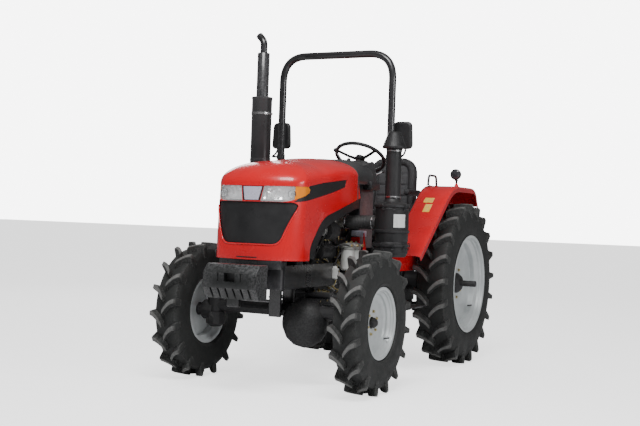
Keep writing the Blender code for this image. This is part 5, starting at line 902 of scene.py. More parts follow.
def stripTool(side, margin, depth):
    form = bmesh.new()
    eased = roundCorners([(y, z, 0) for y, z in openings["strip"]], 0.012, 3, closed=True)
    middle = Vector((-1.95, 1.39, 0))
    outline = []
    for point in eased:
        away = point - middle
        point = point - Vector((away.x * margin * 2, 0, 0)) - Vector((0, away.y * margin * 16, 0))
        outline.append((point.x, point.y))
    addPrism(form, outline, "X", side * depth, side * 0.5)
    return toolPiece(form)


def surfaceProbe(inset):
    # finds the bonnet's face behind a point seen from the front
    form = bonnetShell(inset, 0.004)
    tree = BVHTree.FromBMesh(form)
    form.free()
    return lambda x, z: (tree.ray_cast(Vector((x, -3, z)), Vector((0, 1, 0)))[0]
                         or tree.find_nearest(Vector((x, -2.2, z)))[0])


headlamp = dict(columns=15, rows=7, near=0.070, far=0.303, low=1.286, high=1.390, depth=0.030,
            swing=0.013, round=(0.262, 1.339, 0.027))


def makeLampInside(side, name, probe):
    chance = random.Random(5 if side > 0 else 6)
    facets = bmesh.new()
    grid = []
    for j in range(headlamp["rows"] + 1):
        z = headlamp["low"] + (headlamp["high"] - headlamp["low"]) * j / headlamp["rows"]
        row = []
        for i in range(headlamp["columns"] + 1):
            x = headlamp["near"] + (headlamp["far"] - headlamp["near"]) * i / headlamp["columns"]
            hit = probe(side * x, z)
            row.append(facets.verts.new(hit + Vector((0, chance.uniform(0, headlamp["swing"]),
                                                      0))))
        grid.append(row)
    for a, b in zip(grid, grid[1:]):
        for i in range(headlamp["columns"]):
            facets.faces.new((a[i], a[i + 1], b[i + 1], b[i]))
    bmesh.ops.solidify(facets, geom=facets.faces[:], thickness=0.002)
    addPiece(f"lamp_facets_{name}", facets, "reflector", body="bonnet", bend=3)
    x, z, r = headlamp["round"]
    x *= side
    y = probe(x, z).y
    bowl = bmesh.new()
    addTurned(bowl, [(y - 0.014, r - 0.001), (y - 0.012, r - 0.003), (y + 0.002, r * 0.74),
                     (y + 0.012, r * 0.42), (y + 0.014, 0.004)], "Y", (x, 0, z), 32)
    bmesh.ops.delete(bowl, geom=[face for face in bowl.faces if len(face.verts) > 4
                                 and face.calc_center_median().y < y], context="FACES")
    bmesh.ops.solidify(bowl, geom=bowl.faces[:], thickness=0.0012)
    addPiece(f"lamp_round_{name}", bowl, "reflector", body="bonnet", bend=40)
    rim = bmesh.new()
    ring = [Vector((x + r * math.cos(a), y - 0.013, z + r * math.sin(a)))
            for a in [2 * math.pi * k / 36 for k in range(36)]]
    addTube(rim, ring, 0.0038, 10, closed=True)
    addTurned(rim, [(y - 0.010, 0.003), (y - 0.008, 0.0095), (y + 0.004, 0.0105),
                    (y + 0.008, 0.009)],
              "Y", (x, 0, z), 20)
    addPiece(f"lamp_rim_{name}", rim, "darkGlass", body="bonnet", bend=40)


def makeNoseTrim():
    face = surfaceProbe(0)
    eased = roundCorners([(x, z, 0) for x, z in openings["grille"]], 0.055, 8, closed=True)
    spots = [point for point in eased[9:] + eased[:9] if point.y < 1.262]
    points = [face(point.x, point.y) for point in resample([(p.x, p.y, 0) for p in spots], 0.02)]
    lip = bmesh.new()
    addTube(lip, points, 0.0052, 12)
    addPiece("grille_lip", lip, "redPaint", body="bonnet", bend=50)
    # a black tube laid on the nose stands for the hand-hold slot: painted shade for the slot's
    # dark inside
    slot = bmesh.new()
    addTube(slot, [face(-0.087 + 0.013 * k, 0.913) for k in range(13)], 0.0034, 8)
    addPiece("nose_slot_shade", slot, "mouldedBlack", body="bonnet", bend=50)
    slats = bmesh.new()
    for k in range(8):
        z = 1.297 + 0.0115 * k
        half = 0.051 + (z - 1.290) / 0.097 * 0.019
        addTube(slats, [face(half * (i / 6 - 1), z) + Vector((0, 0.0015, 0)) for i in range(13)],
                0.0013, 6)
    addPiece("nose_slats", slats, "lilacPlate", body="bonnet", bend=50)


def makeBonnet():
    shell = addPiece("bonnet_shell_smooth", bonnetShell(0, bonnet["shell"]), "redPaint",
                     ["bonnet_shell"], body="bonnet")
    cutBy(shell, archTool(), "DIFFERENCE")
    cutBy(shell, grilleTool(0), "DIFFERENCE")
    cutBy(shell, plateTool(-0.0095, -0.001), "DIFFERENCE")
    for side in (1, -1):
        cutBy(shell, lampTool(side, 0), "DIFFERENCE")
        cutBy(shell, stripTool(side, 0, 0.2), "DIFFERENCE")
    soften(shell, 30)
    panel = addPiece("grille_panel", bonnetShell(0.010, 0.006), "mouldedBlack", ["grille"],
                     body="bonnet")
    cutBy(panel, grilleTool(0.012), "INTERSECT")
    soften(panel, 30)
    centre = addPiece("nose_plate", bonnetShell(0.0015, 0.005), "lilacPlate", body="bonnet")
    cutBy(centre, plateTool(0.004), "INTERSECT")
    soften(centre, 30)
    border = addPiece("nose_border", bonnetShell(0.006, 0.006), "mouldedBlack", body="bonnet")
    cutBy(border, plateTool(-0.016, -0.010), "INTERSECT")
    for side, name in ((1, "left"), (-1, "right")):
        strip = addPiece(f"side_strip_{name}", bonnetShell(0.0035, 0.006), "mouldedBlack",
                         body="bonnet")
        cutBy(strip, stripTool(side, -0.002, 0.2), "INTERSECT")
        soften(strip, 30)
        lens = addPiece(f"lamp_lens_{name}", bonnetShell(0.0015, 0.003), "clearLens",
                        [f"headlamp_{name}"], body="bonnet")
        cutBy(lens, lampTool(side, 0.0015, None, 0.286), "INTERSECT")
        soften(lens, 30)
        amber = addPiece(f"lamp_amber_{name}", bonnetShell(0.0015, 0.003), "amberLens",
                         body="bonnet")
        cutBy(amber, lampTool(side, 0.0015, 0.287, 0.5), "INTERSECT")
        soften(amber, 30)
        makeLampInside(side, name, surfaceProbe(headlamp["depth"]))
        bowl = addPiece(f"lamp_bowl_{name}", bonnetShell(0.044, 0.004), "reflector", body="bonnet")
        cutBy(bowl, lampTool(side, -0.010), "INTERSECT")
        soften(bowl, 30)


makeBonnet()
makeNoseTrim()
print("bonnet ready")


# mudguards

fender = dict(inner=0.430, outer=0.690, bend=0.17, sheet=0.004, flange=0.045, wallLow=0.788,
              wallRearLow=1.10, wallTurn=0.02,
              path=((-1.07, 0.925), (-0.36, 1.486), (0.24, 1.486), (0.33, 1.33)),
              skin=((0.430, 0.003), (0.436, 0.0005), (0.480, 0.0), (0.560, -0.0), (0.630, 0.0),
                    (0.664, 0.0012), (0.678, 0.0045), (0.6865, 0.009), (0.690, 0.014)),
              blanks=((0.505, 0.585, 0.666, 0.730), (0.535, 0.592, 0.543, 0.646)))


def fenderPath():
    front = roundCorners([(0, y, z) for y, z in fender["path"][:3]], fender["bend"], 12)
    rear = roundCorners([(0, y, z) for y, z in fender["path"][1:]], 0.09, 7)
    points = [point for point in front[:-1]] + [point for point in rear[1:]]
    slope = []
    for first, second in zip(points, points[1:]):
        parts = max(1, int((second - first).length / 0.05))
        slope += [first.lerp(second, k / parts) for k in range(parts)]
    slope.append(points[-1])
    made = []
    for i, point in enumerate(slope):
        before = slope[max(i - 1, 0)]
        after = slope[min(i + 1, len(slope) - 1)]
        heading = (after - before).normalized()
        made.append((point, Vector((0, -heading.z, heading.y))))
    return made


def loftSections(form, rings, closed=True):
    for first, second in zip(rings, rings[1:]):
        count = len(first)
        for i in range(count if closed else count - 1):
            j = (i + 1) % count
            form.faces.new((first[i], first[j], second[j], second[i]))
    form.faces.new(rings[0])
    form.faces.new(rings[-1])


def makeFender(side, name):
    path = fenderPath()
    sheet = bmesh.new()
    rings = []
    for point, up in path:
        skin = list(fender["skin"])
        under = [(x - (0.004 if x > 0.68 else 0.0), d + fender["sheet"]) for x,
                 d in reversed(skin)]
        rings.append([sheet.verts.new(Vector((side * x, point.y, point.z)) - up * d)
                      for x, d in skin + under])
    loftSections(sheet, rings)
    wall = [point - up * 0.004 for point, up in path]
    outline = [(point.y, point.z) for point in wall]
    outline += [(0.33, fender["wallRearLow"]), (fender["wallTurn"], fender["wallLow"]),
                (-1.07, fender["wallLow"])]
    addPrism(sheet, outline, "X", side * 0.4302, side * 0.4345)
    addPiece(f"fender_{name}_sheet", sheet, "redPaint", [f"fender_{name}"], bend=30)
    lip = bmesh.new()
    section = ((0.6900, 0.014), (0.6912, 0.024), (0.6918, 0.040), (0.6935, 0.0445),
               (0.6935, 0.0475),
               (0.6895, 0.0480), (0.6868, 0.0445), (0.6866, 0.024), (0.6860, 0.0145))
    rings = [[lip.verts.new(Vector((side * x, point.y, point.z)) - up * d) for x, d in section]
             for point, up in path]
    loftSections(lip, rings)
    # the lip takes the darker copy of the red paint: painted shade
    addPiece(f"fender_{name}_flange", lip, "redFlangeShade", bend=40)
    trim = bmesh.new()
    edge = [Vector((side * 0.4315, point.y, point.z)) + up * 0.0005 for point, up in path]
    addTube(trim, edge, 0.0032, 8)
    addPiece(f"fender_{name}_trim", trim, "hoseRubber")
    heading = Vector((0, 0.71, 0.561)).normalized()
    over = Vector((0, -heading.z, heading.y))
    foot = Vector((0, -1.07, 0.925))
    if side > 0:
        for number, (left, right, low, high) in enumerate(fender["blanks"]):
            blank = bmesh.new()
            ring = roundCorners([(left, low, 0), (right, low, 0), (right, high, 0),
                                 (left, high, 0)],
                                0.006, 4, closed=True)
            for lift in (0.0002, 0.0011):
                face = [blank.verts.new(foot + heading * p.y + over * lift + Vector((p.x, 0, 0)))
                        for p in ring]
                blank.faces.new(face)
            blank.verts.ensure_lookup_table()
            count = len(ring)
            for i in range(count):
                j = (i + 1) % count
                blank.faces.new((blank.verts[i], blank.verts[j], blank.verts[count + j],
                                 blank.verts[count + i]))
            addPiece(f"fender_blank_{number}", blank, "yellowBlank")


workLamp = dict(x=0.570, y=0.060, z=1.595, foot=1.4865)


def makeFenderLamp(side, name):
    x, y, z, foot = side * workLamp["x"], workLamp["y"], workLamp["z"], workLamp["foot"]
    shell = bmesh.new()
    addTurned(shell, [(y + 0.032, 0.009), (y + 0.031, 0.021), (y + 0.024, 0.032),
                      (y + 0.008, 0.041),
                      (y - 0.012, 0.046), (y - 0.020, 0.047), (y - 0.026, 0.047),
                      (y - 0.028, 0.043),
                      (y - 0.024, 0.041)], "Y", (x, y, z), 40)
    stem = roundCorners([(x, y + 0.006, foot), (x, y + 0.006, 1.530), (x, y + 0.004, 1.560)], 0.01)
    addTube(shell, stem, 0.009, 12)
    addTurned(shell, [(1.540, 0.015), (1.552, 0.015)], "Z", (x, y + 0.004, 0), 20)
    addPiece(f"fender_lamp_{name}_shell", shell, "mouldedBlack", [f"fender_lamp_{name}"], bend=35)
    glass = bmesh.new()
    addTurned(glass, [(y - 0.023, 0.0405), (y - 0.030, 0.037), (y - 0.034, 0.026),
                      (y - 0.036, 0.002)],
              "Y", (x, y, z), 40)
    addPiece(f"fender_lamp_{name}_glass", glass, "darkGlass")
    boss = bmesh.new()
    addTurned(boss, [(foot, 0.030), (1.490, 0.030), (1.494, 0.020), (1.512, 0.0135),
                     (1.516, 0.010)],
              "Z", (x, y + 0.006, 0), 28)
    addPiece(f"fender_lamp_{name}_foot", boss, "redPaint")


grabRail = dict(x=0.450, feet=(-0.300, -0.100), bolts=(-0.315, -0.085), radius=0.010)


def makeGrabRail(side, name):
    x = side * grabRail["x"]
    form = bmesh.new()
    path = roundCorners([(x, -0.300, 1.4885), (x, -0.290, 1.571), (x, -0.115, 1.571),
                         (x, -0.100, 1.4885)],
                        0.035, 8)
    addTube(form, path, grabRail["radius"], 16)
    for y in grabRail["feet"]:
        addTurned(form, [(1.4865, 0.019), (1.4905, 0.019)], "Z", (x, y, 0), 24)
    for y in grabRail["bolts"]:
        addBolt(form, (x, y, 1.4865), "Z", 0.004, 0.006)
    addPiece(f"grab_rail_{name}_bent", form, "blackGloss", [f"grab_rail_{name}"], bend=40)


for sideName, sideWay in (("left", 1), ("right", -1)):
    makeFender(sideWay, sideName)
    makeFenderLamp(sideWay, sideName)
    makeGrabRail(sideWay, sideName)
print("mudguards ready")


# hoop and mirrors

hoop = dict(y=-1.185, half=0.4685, top=2.449, radius=0.0285, bend=0.20, foot=0.8005)


def makeHoop():
    form = bmesh.new()
    half, y = hoop["half"], hoop["y"]
    path = roundCorners([(-half, y, hoop["foot"]), (-half, y, hoop["top"]), (half, y, hoop["top"]),
                         (half, y, hoop["foot"])], hoop["bend"], 16)
    addTube(form, path, hoop["radius"], 28)
    for side in (-1, 1):
        x = side * half
        addBlock(form, (x - 0.026, y - 0.052, hoop["foot"]),
                 (x + 0.026, y + 0.030, hoop["foot"] + 0.008))
        addTurned(form, [(hoop["foot"] + 0.008, 0.033), (hoop["foot"] + 0.014, 0.0295)], "Z",
                  (x, y, 0), 28)
        addBolt(form, (x, y - 0.041, hoop["foot"] + 0.008), "Z", 0.006, 0.007)
        for z in (1.28, 1.60):  # bolted sleeves
            addBand(form, "Z", (x, y, 0), z, 0.0286, 0.018, 0.0029, 28, 0.002)
    addPiece("safety_hoop_bent", form, "blackGloss", ["safety_hoop"], bend=40)


def makeMirror(side, name):
    form = bmesh.new()
    rows = []
    for y, grow in ((-1.098, 0.72), (-1.097, 0.86), (-1.091, 0.955), (-1.084, 1.0), (-1.075, 1.0),
                    (-1.0705, 0.985), (-1.0715, 0.95)):
        outline = roundCorners([(0.523 - 0.085, 1.730, 0), (0.523 + 0.085, 1.730, 0),
                                (0.523 + 0.074, 1.940, 0), (0.523 - 0.074, 1.940, 0)],
                               0.040, 7, closed=True)
        rows.append([form.verts.new((side * (0.523 + (p.x - 0.523) * grow), y,
                                     1.835 + (p.y - 1.835) * (0.4 + 0.6 * grow)))
                                     for p in outline])
    loftSections(form, rows)
    x = 0.553
    stalk = roundCorners([(0.500, -1.185, 1.660), (x, -1.185, 1.660), (x, -1.120, 1.685),
                          (x, -1.088, 1.72), (x, -1.088, 1.742)], 0.03, 6)
    for point in stalk:
        point.x *= side
    addTube(form, stalk, 0.0075, 14)
    addTurned(form, [(1.640, 0.0286), (1.641, 0.033), (1.679, 0.033), (1.680, 0.0286)], "Z",
              (side * 0.4685, -1.185, 0), 28)
    addPiece(f"mirror_{name}_shell", form, "mouldedBlack", [f"mirror_{name}"], bend=38)
    glass = bmesh.new()
    outline = roundCorners([(0.523 - 0.076, 1.739, 0), (0.523 + 0.076, 1.739, 0),
                            (0.523 + 0.066, 1.931, 0), (0.523 - 0.066, 1.931, 0)], 0.034, 7,
                            closed=True)
    addPrism(glass, [(side * p.x, p.y) for p in outline], "Y", -1.0735, -1.0700)
    addPiece(f"mirror_{name}_glass", glass, "mirrorGlass")


makeHoop()
makeMirror(1, "left")
makeMirror(-1, "right")
print("hoop and mirrors ready")


# exhaust, air cleaner, hose and filter

exhaust = dict(place=(-0.430, -1.580), clamps=(1.30, 1.95), tip=0.0270, elbow=0.034)


def makeExhaust():
    x, y = exhaust["place"]
    form = bmesh.new()
    addTurned(form, [(1.100, 0.030), (1.110, 0.0765), (1.118, 0.0785), (1.126, 0.0765),
                     (1.60, 0.0765),
                     (1.602, 0.0785), (1.618, 0.0785), (1.620, 0.0765), (2.066, 0.0765),
                     (2.070, 0.0790),
                     (2.083, 0.0790), (2.085, 0.0765), (2.085, 0.0720), (2.060, 0.0705),
                     (2.060, 0.048)],
              "Z", (x, y, 0), 56)
    addTurned(form, [(2.050, 0.0465), (2.416, 0.0465), (2.420, 0.0440), (2.420, 0.0280)], "Z",
              (x, y, 0), 48)
    tip = roundCorners([(x, y, 2.38), (x, y, 2.510), (x - 0.050, y + 0.014, 2.557)], 0.040, 9)
    addTube(form, tip, exhaust["tip"], 32)
    addPiece("exhaust_stack_turned", form, "blackGloss", ["exhaust_stack"], bend=40)
    clamp = bmesh.new()
    for z in exhaust["clamps"]:
        addBand(clamp, "Z", (x, y, 0), z, 0.0768, 0.020, 0.0020, 56)
        addTube(clamp, [(x + 0.079, y - 0.02, z + 0.01), (x + 0.079, y + 0.022, z + 0.01)], 0.006,
                10)
    addPiece("exhaust_clamps", clamp, "bareSteel", bend=40)
    elbow = bmesh.new()
    path = roundCorners([(-0.200, -1.560, 1.125), (-0.300, -1.580, 1.125), (-0.418, -1.580, 1.125),
                         (-0.430, -1.580, 1.150)], 0.05, 8)
    addTube(elbow, path, exhaust["elbow"], 24)
    addPiece("exhaust_elbow", elbow, "castBlack", bend=40)


cleaner = dict(place=(0.570, -1.350), slots=16, clipTurns=(-62, -22, 28, 88, 150, 210, 262),
               clipLevels=(1.004, 1.292), plate=(1.136, 1.232), plateStart=-62,
               bands=((1.352, 0.0562), (1.690, 0.0562)))


def makeAirCleaner():
    x, y = cleaner["place"]
    form = bmesh.new()
    addTurned(form, [(0.918, 0.035), (0.920, 0.104), (0.928, 0.114), (0.944, 0.116),
                     (0.950, 0.122),
                     (0.992, 0.122), (0.996, 0.131), (1.012, 0.132), (1.016, 0.122),
                     (1.030, 0.1185),
                     (1.036, 0.122), (1.094, 0.122), (1.098, 0.130), (1.114, 0.132),
                     (1.119, 0.123),
                     (1.268, 0.122), (1.272, 0.1255), (1.280, 0.122), (1.284, 0.131),
                     (1.299, 0.131), (1.304, 0.124), (1.314, 0.106),
                     (1.322, 0.070), (1.335, 0.060), (1.345, 0.0555), (1.360, 0.0560)],
              "Z", (x, y, 0), 64)
    addTurned(form, [(1.340, 0.0555), (1.700, 0.0555), (1.704, 0.060), (1.722, 0.060)], "Z",
              (x, y, 0), 48)
    addTurned(form, [(1.715, 0.058), (1.7155, 0.0850), (1.721, 0.0880), (1.730, 0.0880),
                     (1.736, 0.0845),
                     (1.746, 0.0800), (1.775, 0.0680), (1.805, 0.0570), (1.824, 0.0500),
                     (1.834, 0.0440),
                     (1.839, 0.0360), (1.840, 0.0060)], "Z", (x, y, 0), 64)
    for k in range(cleaner["slots"]):  # in the rain cap
        angle = 2 * math.pi * k / cleaner["slots"]
        spoke = [(x + r * math.cos(angle), y + r * math.sin(angle), z) for r, z in
                 ((0.0800, 1.747), (0.0682, 1.775), (0.0572, 1.805))]
        addTube(form, spoke, 0.0017, 6)
    addBlock(form, (0.425, -1.372, 1.074), (0.470, -1.328, 1.126))
    addPiece("air_cleaner_turned", form, "mouldedBlack", ["air_cleaner"], bend=34)
    clips = bmesh.new()
    for turn in cleaner["clipTurns"]:
        angle = math.radians(turn)
        away = Vector((math.cos(angle), math.sin(angle), 0))
        side = Vector((-math.sin(angle), math.cos(angle), 0))
        for z in cleaner["clipLevels"]:
            base = Vector((x, y, z))
            low, high = base + away * 0.126, base + away * 0.136
            for shift in (-0.006, 0.006):
                addTube(clips, [low + side * shift + Vector((0, 0, -0.030)),
                                high + side * shift + Vector((0, 0, -0.010)),
                                high + side * shift + Vector((0, 0, 0.012)),
                                low + side * shift + Vector((0, 0, 0.020))], 0.0022, 6)
            addTube(clips, [low + side * -0.010 + Vector((0, 0, -0.030)),
                            low + side * 0.010 + Vector((0, 0, -0.030))], 0.0045, 8)
    addPiece("air_cleaner_clips", clips, "mouldedBlack", bend=40)
    label = bmesh.new()
    rows = []
    for r in (0.1223, 0.1232):
        row = []
        for z in cleaner["plate"]:
            row.append([label.verts.new((x + r * math.cos(a), y + r * math.sin(a), z))
                        for a in [math.radians(cleaner["plateStart"] + 5 * k) for k in range(10)]])
        rows.append(row)
    for row in rows:
        for i in range(9):
            label.faces.new((row[0][i], row[0][i + 1], row[1][i + 1], row[1][i]))
    for level in (0, 1):
        for i in range(9):
            label.faces.new((rows[0][level][i], rows[0][level][i + 1], rows[1][level][i + 1],
                             rows[1][level][i]))
    for end in (0, -1):
        label.faces.new((rows[0][0][end], rows[0][1][end], rows[1][1][end], rows[1][0][end]))
    addPiece("air_cleaner_blank", label, "whiteBlank", bend=50)
    bands = bmesh.new()
    for z, r in cleaner["bands"]:
        addBand(bands, "Z", (x, y, 0), z, r, 0.013, 0.0022, 48)
        addTube(bands, [(x + 0.01, y - 0.061, z + 0.006), (x + 0.035, y - 0.055, z + 0.006)],
                0.005, 8)
    addPiece("air_cleaner_bands", bands, "bareSteel", bend=40)


hose = dict(height=1.165, engineEnd=-1.41, cleanerEnd=-1.350, radius=0.052, groove=0.0022,
            bands=(0.232, 0.420))


def makeHose():
    z, near, far = hose["height"], hose["engineEnd"], hose["cleanerEnd"]
    form = bmesh.new()
    path = roundCorners([(0.215, near, z), (0.262, near, z), (0.335, far - 0.005, z),
                         (0.450, far, z)], 0.05, 8)
    fine = []
    for first, second in zip(path, path[1:]):
        parts = max(1, int((second - first).length / 0.004))
        fine += [first.lerp(second, k / parts) for k in range(parts)]
    fine.append(path[-1])
    ribbed = range(15, len(fine) - 14)
    radii = [hose["radius"] - (hose["groove"] if i in ribbed and i % 5 in (0, 1) else 0)
             for i in range(len(fine))]
    addTube(form, fine, radii, 32)
    addPiece("intake_hose_ribbed", form, "hoseRubber", ["intake_hose"], bend=50)
    elbow = bmesh.new()
    addTurned(elbow, [(0.1555, 0.060), (0.166, 0.060), (0.170, 0.050), (0.212, 0.0495),
                      (0.216, 0.053),
                      (0.222, 0.053), (0.226, 0.048)], "X", (0, near, z), 40)
    for angle in (45, 135, 225, 315):
        a = math.radians(angle)
        addBolt(elbow, (0.166, near + 0.054 * math.cos(a), z + 0.054 * math.sin(a)), "X", 0.0055,
                0.006)
    addPiece("intake_elbow", elbow, "castAlloy", bend=35)
    bands = bmesh.new()
    for x in hose["bands"]:
        y = near if x < 0.3 else far
        addBand(bands, "X", (0, y, z), x, 0.0524, 0.012, 0.0024, 48)
        addTube(bands, [(x + 0.006, y - 0.056, 1.150), (x + 0.006, y - 0.058, 1.182)], 0.0055, 10)
        addBolt(bands, (x + 0.006, y - 0.058, 1.182), "Z", 0.005, 0.005)
    addPiece("hose_bands", bands, "bareSteel", bend=35)


filters = dict(x=0.262, cans=((-1.446, 0.806), (-1.332, 0.842)), inlets=(-1.485, -1.389, -1.296),
               bleeds=(-1.470, -1.422, -1.389, -1.356, -1.308), cup=(0.212, -1.560, 0))


def makeFilter():
    x = filters["x"]
    head = bmesh.new()
    addBlock(head, (x - 0.030, -1.492, 0.974), (x + 0.034, -1.288, 1.004))
    addBlock(head, (0.1555, -1.430, 0.968), (x - 0.02, -1.350, 1.000))
    for y, low in filters["cans"]:
        addTurned(head, [(0.957, 0.046), (0.962, 0.054), (0.978, 0.054), (0.984, 0.047),
                         (1.006, 0.038),
                         (1.012, 0.020)], "Z", (x, y, 0), 40)
    for y in filters["inlets"]:
        addTube(head, [(x + 0.02, y, 0.990), (x + 0.058, y - 0.006, 0.990)], 0.0095, 12)
    addPiece("filter_head", head, "castAlloy", bend=35, bevel=0.002)
    fittings = bmesh.new()
    for y in filters["bleeds"]:
        addBolt(fittings, (x + dice.uniform(-0.012, 0.016), y, 1.006), "Z",
                dice.uniform(0.006, 0.009), 0.016)
    for y in filters["inlets"]:
        addBolt(fittings, (x + 0.054, y - 0.006, 0.990), "X", 0.0095, 0.012)
    addPiece("filter_fittings", fittings, "zincYellow", bend=30)
    cans = bmesh.new()
    for y, low in filters["cans"]:
        addTurned(cans, [(low, 0.012), (low + 0.001, 0.036), (low + 0.006, 0.0445),
                         (low + 0.014, 0.0485),
                         (0.940, 0.0490), (0.944, 0.0508), (0.955, 0.0508), (0.9565, 0.047)], "Z",
                  (x, y, 0), 44)
    addPiece("filter_cans", cans, "paleCan", ["fuel_filter"], bend=40)
    tap = bmesh.new()
    addTurned(tap, [(0.788, 0.006), (0.791, 0.010), (0.805, 0.010), (0.8065, 0.007)], "Z",
              (x, -1.446, 0), 20)
    addPiece("filter_tap", tap, "zincYellow", bend=35)
    cup = bmesh.new()
    addTurned(cup, [(0.742, 0.010), (0.744, 0.026), (0.752, 0.032), (0.808, 0.0325),
                    (0.812, 0.035),
                    (0.822, 0.035), (0.8225, 0.024), (0.838, 0.022)], "Z", filters["cup"], 36)
    addPiece("sediment_cup", cup, "paleCan", bend=35)


makeExhaust()
makeAirCleaner()
makeHose()
makeFilter()
print("exhaust, cleaner and filters ready")


# nodes whose shape stands, with softened edges

dressed = dict(
    castBlack=(("front_axle", 0.004), ("knuckle_left", 0.004), ("knuckle_right", 0.004),
               ("engine", 0.006), ("transmission", 0.006), ("front_drive_shaft", 0.002),
               ("lower_link_left", 0.004), ("lower_link_right", 0.004), ("lift_arm_left", 0.003),
               ("lift_arm_right", 0.003), ("lift_rod_left", 0.002), ("lift_rod_right", 0.002),
               ("top_link", 0.002)),
    castGrey=(("front_weights", 0.007),),
    blackGloss=(("front_frame", 0.003), ("seat_base", 0.003), ("floor_left", 0.002),
                ("floor_right", 0.002), ("steering_cylinder", 0.002)),
    mouldedBlack=(("radiator", 0.003),),
    satinBlack=(("dash_tower", 0.016),),
    bareSteel=(("tie_rod", 0.001), ("steering_rod", 0.001)))

for finish, nodes in dressed.items():
    for node, bevel in nodes:
        dressNode(node, finish, bevel, 3)
print("cast and welded pieces ready")


# engine bay

def addLine(form, points, radius, bend=0.03):
    addTube(form, roundCorners(points, bend, 5), radius, 10)


engine = dict(side=0.154, bolts=(-1.74, -1.62, -1.50, -1.38, -1.26),
              levels=(0.665, 0.86, 1.06, 1.105),
              caps=(-1.66, -1.50, -1.34), fittings=30, pipes=6, fanPlace=-1.86, blades=6)


